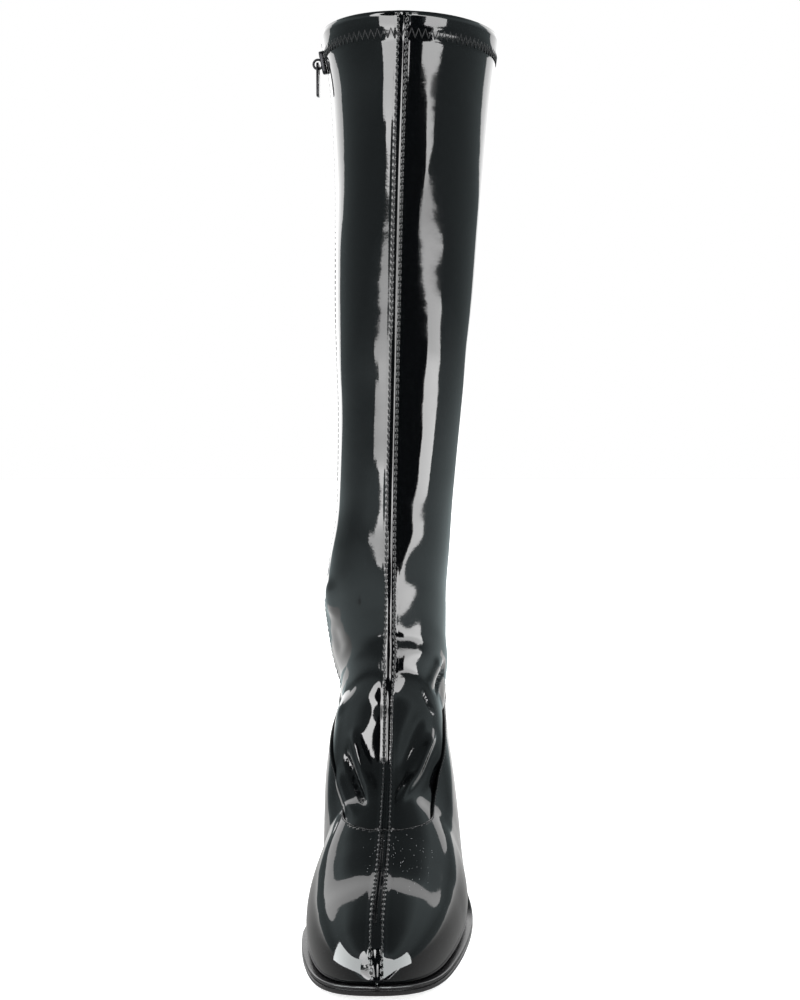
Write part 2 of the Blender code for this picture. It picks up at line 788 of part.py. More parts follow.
def make_slider():
    """The slider over the coil, with the bail that the pull hangs from."""
    middle, across, up, out = slider_frame()
    base = ZIP_COIL_RISE + HEM_LIFT + SLIDER_GAP
    plate = bmesh.new()
    bmesh.ops.create_cube(plate, size=1)
    bmesh.ops.scale(plate, vec=(SLIDER_WIDTH, SLIDER_LENGTH, SLIDER_THICKNESS),
                    verts=plate.verts)
    for vert in plate.verts:
        if vert.co.y < 0:
            vert.co.x *= SLIDER_TAPER
    corners = [edge for edge in plate.edges
               if abs((edge.verts[0].co - edge.verts[1].co).normalized().z) > 0.9]
    bmesh.ops.bevel(plate, geom=corners, offset=SLIDER_CORNER, segments=3, profile=0.5,
                    affect="EDGES", material=-1)
    rims = [edge for edge in plate.edges
            if min(v.co.z for v in edge.verts) > SLIDER_THICKNESS / 2 - 0.01 * MM]
    bmesh.ops.bevel(plate, geom=rims, offset=SLIDER_RIM, segments=2, profile=0.5,
                    affect="EDGES", material=-1)
    bmesh.ops.translate(plate, vec=(0, 0, base + SLIDER_THICKNESS / 2), verts=plate.verts)
    bmesh.ops.transform(plate, matrix=placed(middle, across, up, out), verts=plate.verts)
    slider = make_object("zip_slider", plate, "black_metal")

    bail = bmesh.new()
    ring = BAIL_HOLE + BAIL_WIRE / 2
    profile = [bail.verts.new(Vector((x * BAIL_WIDTH / 2, ring + y * BAIL_WIRE / 2, 0)))
               for x, y in ((-1, -1), (1, -1), (1, 1), (-1, 1))]
    edges = [bail.edges.new((profile[i], profile[(i + 1) % 4])) for i in range(4)]
    bmesh.ops.spin(bail, geom=profile + edges, cent=(0, 0, 0), axis=(1, 0, 0),
                   angle=2 * math.pi, steps=BAIL_STEPS, use_merge=True, use_duplicate=False)
    bmesh.ops.remove_doubles(bail, verts=bail.verts, dist=0.00001)
    bmesh.ops.recalc_face_normals(bail, faces=bail.faces)
    rise = base + SLIDER_THICKNESS + BAIL_HOLE
    bmesh.ops.translate(bail, vec=(0, 0, rise), verts=bail.verts)
    bmesh.ops.transform(bail, matrix=placed(middle, across, up, out), verts=bail.verts)
    mesh = bpy.data.meshes.new("slider bail")
    bail.to_mesh(mesh)
    bail.free()
    ring_object = bpy.data.objects.new("slider bail", mesh)
    bpy.context.collection.objects.link(ring_object)
    ring_object.hide_render = True
    ring_object.display_type = "WIRE"
    add_cut(slider, "bail", "UNION", ring_object)
    return middle + out * rise, across


def make_pull(hinge, axis):
    """The pull tab: a bar through the bail and a tab that hangs straight down from it."""
    tab = bmesh.new()
    bmesh.ops.create_cube(tab, size=1)
    bmesh.ops.scale(tab, vec=(PULL_WIDTH, PULL_LENGTH, PULL_THICKNESS), verts=tab.verts)
    bmesh.ops.translate(tab, vec=(0, PULL_BAR / 2 - PULL_LENGTH / 2, 0), verts=tab.verts)
    corners = [edge for edge in tab.edges
               if abs((edge.verts[0].co - edge.verts[1].co).normalized().z) > 0.9]
    bmesh.ops.bevel(tab, geom=corners, offset=PULL_CORNER, segments=3, profile=0.5,
                    affect="EDGES", material=-1)
    pull = make_object("zip_pull", tab, "black_metal")

    window = bmesh.new()
    bmesh.ops.create_cube(window, size=1)
    bmesh.ops.scale(window, vec=(PULL_WINDOW_WIDTH, PULL_WINDOW_LENGTH, 3 * PULL_THICKNESS),
                    verts=window.verts)
    bmesh.ops.translate(window, vec=(0, -PULL_BAR / 2 - PULL_WINDOW_LENGTH / 2, 0),
                        verts=window.verts)
    mesh = bpy.data.meshes.new("pull window cutter")
    window.to_mesh(mesh)
    window.free()
    cutter = bpy.data.objects.new("pull window cutter", mesh)
    bpy.context.collection.objects.link(cutter)
    cutter.hide_render = True
    cutter.display_type = "WIRE"
    add_cut(pull, "window", "DIFFERENCE", cutter)

    level = Vector((axis.x, axis.y, 0)).normalized()
    up = Vector((0, 0, 1))
    place = placed(hinge, level, up, level.cross(up))
    pull.matrix_world = place
    cutter.matrix_world = place
    return pull


def outline_ring(low, high, count, inset, height):
    """Points round the plan between two shares of the length, set in from the last's edge.

    The ring runs up the inner side and back down the outer side, with one point on each
    rounded end; height gives z for a place along the foot.
    """
    shares = []
    for i in range(count + 1):
        turn = math.pi * i / count
        shares.append(low + (high - low) * (1 - math.cos(turn)) / 2)
    ring = [(INNER_EDGE, share, -1) for share in shares]
    ring += [(OUTER_EDGE, share, 1) for share in shares[-2:0:-1]]
    points = []
    step = 0.002
    for edge, share, side in ring:
        x, y = edge(share), y_at(share)
        if share <= low + 1e-9 and low <= 1e-9:
            normal = Vector((0, 1, 0))
        elif share >= high - 1e-9 and high >= 1 - 1e-9:
            normal = Vector((0, -1, 0))
        else:
            before, after = max(share - step, 0.0), min(share + step, 1.0)
            run = Vector((edge(after) - edge(before), y_at(after) - y_at(before), 0))
            normal = Vector((side * abs(run.y), -side * run.x * (1 if run.y > 0 else -1), 0))
            normal.normalize()
        spread = inset(share)
        place = Vector((x, y, 0)) - normal * spread
        points.append(Vector((place.x, place.y, height(place.y))))
    return points


def stacked_solid(name, rings, finish, pairs):
    """A closed solid from rings of points; its two ends are strips across the ring."""
    body = bmesh.new()
    loops = [[body.verts.new(point) for point in ring] for ring in rings]
    size = len(loops[0])
    for lower, upper in zip(loops, loops[1:]):
        for i in range(size):
            j = (i + 1) % size
            body.faces.new((lower[i], lower[j], upper[j], upper[i]))
    for loop in (loops[0], loops[-1]):
        for i in range(pairs):
            left, left_next = loop[i], loop[i + 1]
            right, right_next = loop[-i % size], loop[-(i + 1) % size]
            corners = []
            for corner in (left, left_next, right_next, right):
                if corner not in corners:
                    corners.append(corner)
            if len(corners) > 2:
                body.faces.new(corners)
    return make_object(name, body, finish)


def ledge(share):
    """How far the sole stands out from the last's edge."""
    front = soft_step((share - SOLE_LINE[2][0]) / (TREAD_END - SOLE_LINE[2][0]))
    return SEAT_LEDGE + (TOE_LEDGE - SEAT_LEDGE) * front


def make_outsole():
    """The thin sole from toe to heel seat, with a groove round its side."""
    rings = []
    for inset, up in SOLE_PROFILE:
        rings.append(outline_ring(
            0.0, 1.0, PLAN_STEPS, lambda share, inset=inset: inset - ledge(share),
            lambda y, up=up: sole_bottom(y) + sole_thickness(y) * up))
    return stacked_solid("outsole", rings, "black_sole", PLAN_STEPS)


def make_insole():
    """The insole inside the upper, lying on the sole."""
    clear = INSOLE_CLEARANCE
    rings = []
    for up in (0.0, INSOLE_THICKNESS):
        rings.append(outline_ring(0.0, 1.0, PLAN_STEPS, lambda share: clear,
                                  lambda y, up=up: last_bottom(y) + up))
    return stacked_solid("insole", rings, "grey_lining", PLAN_STEPS)


def heel_ring(top_share, height):
    """One level of the heel: its seat outline above, the lift's outline below."""
    points = []
    back = HEEL_BACK_Y + SEAT_LEDGE
    seat_x = SEAT_SHIFT * BALL_WIDTH
    lift_front = -LIFT_LENGTH / 2
    lift_back = LIFT_LENGTH / 2
    front = lift_front + (HEEL_BREAST_Y - lift_front) * top_share
    rear = lift_back + (back - lift_back) * top_share ** HEEL_BACK_POWER
    width = LIFT_WIDTH + (SEAT_WIDTH + 2 * SEAT_LEDGE - LIFT_WIDTH) * top_share ** HEEL_WIDTH_POWER
    round_start = rear - width / 2
    for i in range(HEEL_ROUND_STEPS + 1):
        turn = math.pi * i / HEEL_ROUND_STEPS - math.pi / 2
        x = seat_x + width / 2 * math.sin(turn)
        y = round_start + (rear - round_start) * math.cos(turn)
        points.append(Vector((x, y, height(y))))
    points.append(Vector((seat_x + width / 2, front, height(front))))
    points.append(Vector((seat_x - width / 2, front, height(front))))
    return points


def make_heel():
    """The block heel under the seat: rounded behind, flat at the breast."""
    body = bmesh.new()
    base = LIFT_THICKNESS + HEEL_GAP
    loops = []
    for level in HEEL_LEVELS:
        z = base + (HEEL_HEIGHT - base) * level * HEEL_SIDE_SHARE
        loops.append([body.verts.new(p) for p in heel_ring(level, lambda y, z=z: z)])
    seat = heel_ring(1.0, lambda y: sole_bottom(y) - HEEL_GAP)
    loops.append([body.verts.new(p) for p in seat])
    size = len(loops[0])
    for lower, upper in zip(loops, loops[1:]):
        for i in range(size):
            j = (i + 1) % size
            body.faces.new((lower[i], lower[j], upper[j], upper[i]))
    body.faces.new(loops[0])
    top = loops[-1]
    front_right, front_left = top[-2], top[-1]
    count = size - 3
    rows = [(front_left, front_right)]
    rows += [(top[i], top[count - i]) for i in range(count // 2)]
    for (a, b), (c, d) in zip(rows, rows[1:]):
        body.faces.new((a, b, d, c))
    body.faces.new((rows[-1][0], rows[-1][1], top[count // 2]))
    return make_object("heel", body, "black_patent")


def make_top_lift():
    """The lift under the heel, flat on the floor."""
    body = bmesh.new()
    loop = [body.verts.new(p) for p in heel_ring(0.0, lambda y: 0.0)]
    face = body.faces.new(loop)
    grown = bmesh.ops.extrude_face_region(body, geom=[face])
    raised = [item for item in grown["geom"] if isinstance(item, bmesh.types.BMVert)]
    bmesh.ops.translate(body, vec=(0, 0, LIFT_THICKNESS), verts=raised)
    return make_object("top_lift", body, "black_sole")


def build():
    """Make every piece of the boot."""
    clear_scene()
    make_outsole()
    make_insole()
    make_heel()
    make_top_lift()
    make_upper()
    make_shaft()
    make_zip()
    hinge, axis = make_slider()
    make_pull(hinge, axis)
    print("pull hinge", [round(v, 5) for v in hinge], "axis", [round(v, 4) for v in axis])


build()
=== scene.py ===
# %% [markdown]
# # A knee-high go go boot in black stretch patent
# This lesson dresses a plain CAD model of a left boot: a tall leg in thin, very glossy stretch
# patent, a low rounded foot, a thin black-brown sole and a block heel. The CAD solids already have
# the right size and place. What is missing is the look: seams, stitches, soft creases, the zip's
# teeth and above all the mirror gloss, which only shows in a well lit set.
#
# The boot stands on the floor with its toe towards -Y. The zip is on the -X side, which is the
# inner side of a left foot. Lengths are metres, and small ones are written as a number times MM.

import math

import bmesh
import bpy
import numpy as np
from mathutils import Matrix, Vector


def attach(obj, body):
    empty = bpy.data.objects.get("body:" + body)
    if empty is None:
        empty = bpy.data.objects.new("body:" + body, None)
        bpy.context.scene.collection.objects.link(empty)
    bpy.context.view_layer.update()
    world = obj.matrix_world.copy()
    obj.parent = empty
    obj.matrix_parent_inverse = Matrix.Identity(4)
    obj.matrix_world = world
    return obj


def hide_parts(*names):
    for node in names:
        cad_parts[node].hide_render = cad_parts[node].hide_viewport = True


MM = 0.001

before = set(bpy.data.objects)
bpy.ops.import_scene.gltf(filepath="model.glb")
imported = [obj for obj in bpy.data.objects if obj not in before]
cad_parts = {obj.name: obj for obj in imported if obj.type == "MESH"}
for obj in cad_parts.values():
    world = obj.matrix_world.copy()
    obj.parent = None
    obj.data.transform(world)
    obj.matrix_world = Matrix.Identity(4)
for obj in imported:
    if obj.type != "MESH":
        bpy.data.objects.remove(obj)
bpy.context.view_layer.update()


def in_mm(values):
    """Lengths as rounded millimetres, for the printed notes."""
    return [round(float(value) / MM, 1) for value in values]


# %% [markdown]
# ## The last and the leg as one skin
# A boot maker works over a last, a solid foot shape, and cuts the leg to a pattern. Both are
# described here by sections, like slices through the boot: upright slices over the toes, slices
# that fan round the ankle, and level slices up the leg. Stations number the slices, from 0 at the
# toe's tip to 10 at the heel's back and 20 at the collar. In each slice a turn angle runs round
# from the front seam, negative on the inner side. Every piece of leather, every seam and every
# crease below is placed by these two numbers, so they all lie on the same smooth skin.

# %% Driving sizes
FOOT_LENGTH = 231 * MM
HEEL_BACK_Y = 34 * MM
BALL_WIDTH = 80 * MM
SEAT_WIDTH = 53 * MM
INSTEP_RISE = 67 * MM
HEEL_HEIGHT = 74 * MM
TOE_SPRING = 8 * MM
TOE_SPRING_POWER = 1.8
COLLAR_HEIGHT = 459 * MM
COLLAR_WIDTH = 94.5 * MM
COLLAR_DEPTH = 117 * MM
COLLAR_TILT = 0.5 * MM
SOLE_THICKNESS = 4.5 * MM
SEAT_SOLE_THICKNESS = 3 * MM
SKIN_GAP = 0.3 * MM
BED_TRIM = 0.6 * MM

# %% Tables of the sections
PLAN_COLUMNS = ("along", "inner", "outer")
PLAN_ROWS = {
    "seat": (0.130, None, None),
    "waist back": (0.260, 0.320, 0.285),
    "waist": (0.390, 0.320, 0.325),
    "waist front": (0.500, 0.415, 0.380),
    "outer ball": (0.561, 0.478, 0.405),
    "inner ball": (0.670, 0.542, None),
}
TOE_SHIFT = -0.125
SEAT_SHIFT = -0.044
INNER_TOE_POWER = 1.9
OUTER_TOE_POWER = 1.65

# The sole's underside: share of the foot's length, share of the heel's height
SOLE_LINE = (
    (0.000, 1.000),
    (0.110, 0.968),
    (0.190, 0.900),
    (0.270, 0.750),
    (0.350, 0.520),
    (0.430, 0.270),
    (0.510, 0.080),
    (0.590, 0.000),
    (0.830, 0.000),
)

FOOT_COLUMNS = ("seam_along", "seam_rise", "base_along", "inner", "outer", "shift", "fullness")
FOOT_SECTIONS = (
    (1.000, 0.000, 1.000, 0.125, -0.125, -0.125, 0.92),
    (0.987, 0.200, 0.974, 0.330, 0.110, -0.130, 0.92),
    (0.935, 0.380, 0.909, 0.440, 0.250, -0.131, 0.92),
    (0.843, 0.530, 0.813, 0.510, 0.350, -0.119, 0.94),
    (0.722, 0.675, 0.704, 0.542, 0.405, -0.100, 0.96),
    (0.613, 0.890, 0.600, 0.515, 0.400, -0.088, 1.00),
    (0.526, 0.975, 0.496, 0.485, 0.370, -0.081, 1.03),
    (0.457, 0.875, 0.365, 0.480, 0.340, -0.078, 1.03),
    (0.413, 0.675, 0.226, 0.453, 0.310, -0.075, 1.00),
    (0.396, 0.705, 0.096, 0.420, 0.305, -0.072, 0.95),
    (0.389, 0.830, 0.000, 0.418, 0.320, -0.070, 0.90),
)
HEEL_CORNER = len(FOOT_SECTIONS) - 1
TOE_ROUND_END = 4
TOE_ROUND_FADE = 2.0
TOE_SWELL = 1.02

LEG_COLUMNS = ("seam_up", "seam_fore", "back_up", "back_aft", "inner", "outer", "shift",
               "back_shift")
LEG_SECTIONS = (
    (0.031, 0.470, 0.045, 0.308, 0.397, 0.286, -0.058, -0.042),
    (0.068, 0.474, 0.092, 0.299, 0.423, 0.275, -0.057, -0.053),
    (0.111, 0.483, 0.153, 0.265, 0.443, 0.275, -0.055, -0.053),
    (0.173, 0.496, 0.232, 0.235, 0.413, 0.291, -0.053, -0.048),
    (0.260, 0.513, 0.332, 0.231, 0.365, 0.312, -0.048, -0.037),
    (0.396, 0.538, 0.472, 0.265, 0.354, 0.365, -0.037, -0.011),
    (0.576, 0.581, 0.639, 0.325, 0.370, 0.434, -0.024, 0.032),
    (0.746, 0.624, 0.789, 0.350, 0.365, 0.478, -0.011, 0.063),
    (0.901, 0.658, 0.923, 0.342, 0.386, 0.521, 0.005, 0.085),
    (1.000, 0.675, 1.000, 0.325, 0.439, 0.561, 0.016, 0.095),
)
TOP_STATION = HEEL_CORNER + len(LEG_SECTIONS)
TILT_START = TOP_STATION - 3

# The throat seam from the side: share of the foot's length, share of the instep's rise
THROAT_LINE = (
    (0.670, 0.779),
    (0.600, 0.785),
    (0.565, 0.809),
    (0.510, 0.828),
    (0.475, 0.846),
    (0.410, 0.775),
    (0.235, 0.455),
    (0.105, 0.400),
    (0.000, 0.430),
    (-0.150, 0.460),
)

# %% Curves through the tables


def smooth_curve(places, values, flat_start=False, flat_end=False):
    """A curve through the given values that never overshoots between two of them."""
    places, values = np.array(places, float), np.array(values, float)
    spans = np.diff(places)
    steps = np.diff(values) / spans
    slopes = np.zeros(len(values))
    slopes[0] = 0.0 if flat_start else steps[0]
    slopes[-1] = 0.0 if flat_end else steps[-1]
    for i in range(1, len(steps)):
        left, right, before, after = steps[i - 1], steps[i], spans[i - 1], spans[i]
        if left * right > 0:
            near, far = 2 * after + before, after + 2 * before
            slopes[i] = (near + far) / (near / left + far / right)

    def read(place):
        place = np.clip(place, places[0], places[-1])
        i = np.clip(np.searchsorted(places, place, side="right") - 1, 0, len(spans) - 1)
        t = (place - places[i]) / spans[i]
        start = (1 + 2 * t) * (1 - t) ** 2 * values[i] + t * (1 - t) ** 2 * spans[i] * slopes[i]
        end = t * t * (3 - 2 * t) * values[i + 1] - t * t * (1 - t) * spans[i] * slopes[i + 1]
        return start + end

    return read


def soft_step(value):
    """0 below 0, 1 above 1 and a soft rise between."""
    value = np.clip(value, 0.0, 1.0)
    return value * value * (3 - 2 * value)


def y_at(along):
    """The place along the foot of a share measured from the heel's back."""
    return HEEL_BACK_Y - along * FOOT_LENGTH


def share_at(y):
    """The share of the foot's length at a place along it."""
    return (HEEL_BACK_Y - y) / FOOT_LENGTH


def plan_edge(side):
    """The last's bottom edge in plan on one side, as x for a share along the foot."""
    seat = PLAN_ROWS["seat"][0]
    column = PLAN_COLUMNS.index("outer" if side > 0 else "inner")
    middle = [(row[0], row[column] * BALL_WIDTH) for row in PLAN_ROWS.values()
              if row[column] is not None]
    seat_x = SEAT_SHIFT * BALL_WIDTH
    places = [seat] + [place for place, _ in middle]
    widths = [side * seat_x + SEAT_WIDTH / 2] + [width for _, width in middle]
    curve = smooth_curve(places, widths, flat_start=True, flat_end=True)
    ball, ball_width = places[-1], widths[-1]
    power = OUTER_TOE_POWER if side > 0 else INNER_TOE_POWER
    toe_x = TOE_SHIFT * BALL_WIDTH

    def read(along):
        along = np.clip(along, 0.0, 1.0)
        reach = np.clip(1 - along / seat, 0, 1)
        heel = seat_x + side * SEAT_WIDTH / 2 * np.sqrt(1 - reach * reach)
        reach = np.clip((along - ball) / (1 - ball), 0, 1)
        toe = toe_x + side * (ball_width - side * toe_x) * (1 - reach ** power) ** (1 / power)
        return np.where(along < seat, heel, np.where(along <= ball, side * curve(along), toe))

    return read


INNER_EDGE = plan_edge(-1)
OUTER_EDGE = plan_edge(1)
SOLE_UP = smooth_curve([row[0] for row in SOLE_LINE], [row[1] for row in SOLE_LINE], flat_end=True)
SPRING_START = SOLE_LINE[-1][0]
TREAD_END = SOLE_LINE[-2][0]
WAIST_START = SOLE_LINE[2][0]


def sole_bottom(y):
    """Height of the sole's underside."""
    along = share_at(y)
    spring = np.clip((along - SPRING_START) / (1 - SPRING_START), 0, None)
    return SOLE_UP(along) * HEEL_HEIGHT + TOE_SPRING * spring ** TOE_SPRING_POWER


def sole_thickness(y):
    """The sole thins from the tread to the heel seat."""
    lean = soft_step((share_at(y) - WAIST_START) / (TREAD_END - WAIST_START))
    return SEAT_SOLE_THICKNESS + (SOLE_THICKNESS - SEAT_SOLE_THICKNESS) * lean


def last_bottom(y):
    """Height of the last's bottom edge, just clear of the sole's top."""
    return sole_bottom(y) + sole_thickness(y) + SKIN_GAP


# %% The skin itself
TURN_STEP = 0.02
TIP_STATION = 0.03
TINY = 1e-9


def section_curves():
    """Every measure of the sections as a smooth curve over the station number."""
    rows = []
    for row in FOOT_SECTIONS:
        cell = dict(zip(FOOT_COLUMNS, row))
        base_y = y_at(cell["base_along"])
        rows.append({
            "seam_y": y_at(cell["seam_along"]),
            "seam_z": last_bottom(base_y) + cell["seam_rise"] * INSTEP_RISE,
            "base_y": base_y,
            "base_z": last_bottom(base_y) - BED_TRIM,
            "inner": cell["inner"] * BALL_WIDTH,
            "outer": cell["outer"] * BALL_WIDTH,
            "seam_x": cell["shift"] * BALL_WIDTH,
            "base_x": SEAT_SHIFT * BALL_WIDTH,
            "fullness": cell["fullness"],
        })
    front_start = rows[-1]["seam_z"]
    back_start = rows[-1]["base_z"]
    for row in LEG_SECTIONS:
        cell = dict(zip(LEG_COLUMNS, row))
        rows.append({
            "seam_y": -cell["seam_fore"] * COLLAR_DEPTH,
            "seam_z": front_start + cell["seam_up"] * (COLLAR_HEIGHT - front_start),
            "base_y": cell["back_aft"] * COLLAR_DEPTH,
            "base_z": back_start + cell["back_up"] * (COLLAR_HEIGHT - back_start),
            "inner": cell["inner"] * COLLAR_WIDTH,
            "outer": cell["outer"] * COLLAR_WIDTH,
            "seam_x": cell["shift"] * COLLAR_WIDTH,
            "base_x": cell["back_shift"] * COLLAR_WIDTH,
            "fullness": 1.0,
        })
    stations = range(len(rows))
    return {key: smooth_curve(stations, [row[key] for row in rows], flat_start=key == "base_y")
            for key in rows[0]}


CURVES = section_curves()


def slice_measures(station, side):
    """The slice's measures on one side: its seam, base, half width and last turn angle."""
    station = np.clip(station, 0.0, float(TOP_STATION))
    cut = {key: curve(station) for key, curve in CURVES.items()}
    on_foot = station < HEEL_CORNER
    along = share_at(cut["base_y"])
    inner, outer = INNER_EDGE(along), OUTER_EDGE(along)
    cut["base_x"] = np.where(on_foot, (inner + outer) / 2, cut["base_x"])
    cut["base_z"] = np.where(on_foot, last_bottom(cut["base_y"]) - BED_TRIM, cut["base_z"])
    foot_half = np.where(on_foot, (outer - inner) / 2, 0.0)
    middle = (cut["seam_x"] + cut["base_x"]) / 2
    half = np.where(side > 0, cut["outer"] - middle, cut["inner"] + middle)
    toe_half = foot_half * TOE_SWELL
    fade = soft_step((station - TOE_ROUND_END) / TOE_ROUND_FADE)
    half = toe_half + (np.maximum(half, toe_half) - toe_half) * fade
    lean = np.where(half > TINY, np.minimum(1.0, foot_half / np.maximum(half, TINY)),
                    1 / TOE_SWELL)
    cut["half"] = half
    cut["end"] = np.pi - np.arcsin(lean ** (1 / cut["fullness"]))
    rise = (station - TILT_START) / (TOP_STATION - TILT_START)
    cut["tilt"] = COLLAR_TILT * soft_step(rise)
    return cut


def skin_points(station, turn):
    """Points of the bare skin for arrays of stations and turns."""
    station, turn = np.broadcast_arrays(np.asarray(station, float), np.asarray(turn, float))
    turn = np.where(np.abs(turn) > np.pi, turn - 2 * np.pi * np.sign(turn), turn)
    side = np.where(turn >= 0, 1.0, -1.0)
    cut = slice_measures(station, side)
    angle = np.minimum(np.abs(turn), cut["end"])
    down = (1 - np.cos(angle)) / (1 - np.cos(cut["end"]))
    bulge = np.clip(np.sin(angle), 0, None) ** cut["fullness"]
    x = cut["seam_x"] + (cut["base_x"] - cut["seam_x"]) * down + side * cut["half"] * bulge
    y = cut["seam_y"] + (cut["base_y"] - cut["seam_y"]) * down
    z = cut["seam_z"] + (cut["base_z"] - cut["seam_z"]) * down - side * cut["tilt"] * bulge
    return np.stack([x, y, z], axis=-1)


def unit(vectors):
    """Vectors made one long."""
    return vectors / np.maximum(np.linalg.norm(vectors, axis=-1, keepdims=True), 1e-12)


def skin_normals(station, turn):
    """The outward directions of the skin."""
    station, turn = np.broadcast_arrays(np.asarray(station, float), np.asarray(turn, float))
    around = skin_points(station, turn + TURN_STEP) - skin_points(station, turn - TURN_STEP)
    low = np.maximum(station - TURN_STEP, 0.0)
    high = np.minimum(station + TURN_STEP, TOP_STATION)
    along = skin_points(high, turn) - skin_points(low, turn)
    normals = unit(np.cross(around, along))
    tip = (station < TIP_STATION)[..., None]
    return np.where(tip, np.array([0.0, -1.0, 0.0]), normals)


def half_width(station, turn):
    """The slice's half width on the side of a turn."""
    return slice_measures(station, np.where(turn >= 0, 1.0, -1.0))["half"]


def lengths_along(line):
    """Lengths travelled along a line of points."""
    return np.concatenate([[0], np.cumsum(np.linalg.norm(np.diff(line, axis=0), axis=1))])


def at_length(place, travelled, values):
    """The point or direction at a length along a line."""
    return Vector([np.interp(place, travelled, column) for column in values.T])


tip, collar_front = skin_points([0.0, TOP_STATION], [0.0, 0.0])
print("toe tip and collar front, mm:", in_mm(tip), in_mm(collar_front))

# %% [markdown]
# ## Folds, seams and swellings as soft relief
# Stretch patent is a thin shiny film on knitted backing. It has no cracks, but it buckles: over
# the ankle it makes long lens-shaped pinches, and down the leg very shallow waves that only show
# because they bend the reflections. Sculpting by hand would do it, but then nothing could be
# changed. Instead each fold is a short line on the skin with a width and a height, and the skin is
# pushed along its outward direction by a soft bell curve round that line.

# %% Seam sizes
LEG_WALL = 1.3 * MM
VAMP_WALL = 0.9 * MM
VAMP_LIFT = 1.75 * MM
THROAT_LIFT = 1.15 * MM
THROAT_FEATHER = 16 * MM
SEAM_RIDGE = 0.28 * MM
SEAM_RIDGE_HALF = 2.9 * MM
SEAM_RIDGE_FADE = 1.3 * MM
SEAM_GROOVE = 0.22 * MM
SEAM_GROOVE_HALF = 0.4 * MM
SEAM_FADE_STATION = 1.5
SEAM_ROW_OFFSET = 2.0 * MM
HEM_HEIGHT = 11 * MM
HEM_LIFT = 0.5 * MM
EDGE_ROUND = 2.4 * MM
EDGE_TUCK = 1.2 * MM
ZIP_TURN = math.radians(92)
ZIP_SLIT = 7.2 * MM
ZIP_STATION_BOTTOM = 9.6
ZIP_FACING_HALF = 8.0 * MM
ZIP_FACING_LIFT = 0.35 * MM
ZIP_FACING_FADE = 2 * MM
ZIP_LINE_STEPS = 60
ZIP_LINE_OVER = 10 * MM
BACK_SEAM_GROOVE = 0.35 * MM
BACK_SEAM_HALF = 0.5 * MM
BACK_RADIUS = 38 * MM
FOLDS_START_STATION = 4.2
FOLDS_START_FADE = 0.8
HEM_STEP_STATION = 0.06
CREASE_END_SHARE = 0.3
CREASE_POINTS = 24
STATION_STEP = 0.1

# %% The creases, each a line of (station, turn in degrees) with its width and height in mm
CREASES = {
    "inner pinch slit": (1.2, -4.2, ((6.85, -45), (6.3, -35), (5.7, -26), (5.05, -14.5))),
    "inner pinch upper lip": (3.2, 2.3, ((7.2, -37), (6.6, -29), (5.9, -20), (5.2, -10))),
    "inner pinch lower lip": (3.4, 2.2, ((6.7, -56), (6.1, -45), (5.5, -35), (4.9, -22))),
    "outer ridge": (2.2, 3.2, ((7.5, 55), (6.9, 42), (6.3, 30), (5.6, 17), (4.9, 7))),
    "outer ridge hollow above": (4.5, -1.8, ((7.9, 42), (7.1, 29), (6.3, 17), (5.6, 8))),
    "outer ridge hollow below": (4.5, -1.5, ((7.0, 66), (6.5, 52), (5.9, 38), (5.2, 24))),
    "outer ankle crease": (1.5, -2.6, ((10.75, 72), (10.0, 68), (9.3, 61), (8.7, 57))),
    "outer ankle crease lip": (4.0, 1.3, ((10.6, 60), (9.9, 56), (9.2, 49), (8.6, 45))),
    "outer ankle short crease": (1.3, -2.2, ((8.5, 36), (8.1, 45), (7.9, 54))),
    "outer ankle swell": (8.0, 1.4, ((10.0, 86), (9.3, 78), (8.7, 70))),
    "ankle keel": (8.5, 2.4, ((14.8, 0), (13.2, 0), (11.0, 0), (9.4, 0), (7.6, 0))),
    "zip bulge": (8.0, 1.3, ((13.5, -70), (12.9, -68), (12.3, -70))),
    "zip dent": (7.0, -0.9, ((12.0, -66), (11.3, -62), (10.6, -58))),
    "inner ankle swell": (8.0, 1.0, ((9.2, -66), (8.4, -60), (7.8, -54))),
}

# %% Where the vamp breaks behind the toes: a line of (station, degrees), its depth and half width
TOE_BREAK = ((3.3, -58), (3.45, -30), (3.5, 0), (3.45, 30), (3.3, 58))
TOE_BREAK_DEPTH = 1.5 * MM
TOE_BREAK_HALF = 12.0 * MM

# %% Shallow waves down the leg: (station, turn in degrees), half sizes up and across, height, mm
WAVES = (
    ((19.2, -24), 12, 9, -0.25),
    ((18.5, -10), 14, 8, 0.22),
    ((18.2, 24), 16, 9, 0.25),
    ((17.6, -22), 15, 9, 0.22),
    ((17.3, 34), 15, 10, -0.3),
    ((16.9, -12), 14, 8, -0.2),
    ((16.5, 30), 14, 9, 0.3),
    ((16.2, -24), 13, 9, -0.22),
    ((15.8, 18), 12, 8, -0.25),
    ((15.4, -14), 12, 8, 0.25),
    ((15.0, 26), 12, 9, 0.25),
    ((14.4, -20), 11, 8, -0.25),
    ((14.0, 16), 10, 8, 0.25),
    ((13.4, -12), 10, 8, 0.2),
    ((13.1, 22), 9, 8, -0.3),
    ((12.3, -18), 9, 8, -0.25),
    ((12.0, 14), 9, 7, 0.25),
    ((17.9, 70), 18, 12, 0.35),
    ((16.6, 78), 17, 12, -0.35),
    ((15.2, 72), 15, 12, 0.35),
    ((13.6, 80), 13, 12, -0.4),
    ((18.0, -70), 18, 12, -0.3),
    ((16.4, -66), 15, 12, 0.35),
    ((14.6, -62), 13, 11, -0.35),
    ((17.5, 140), 20, 16, 0.5),
    ((16.0, 155), 18, 15, -0.5),
    ((14.2, 145), 14, 14, 0.5),
    ((17.0, -145), 20, 16, -0.5),
    ((15.2, -150), 16, 15, 0.5),
    ((13.4, -140), 13, 14, -0.5),
)

# %% Working out the relief


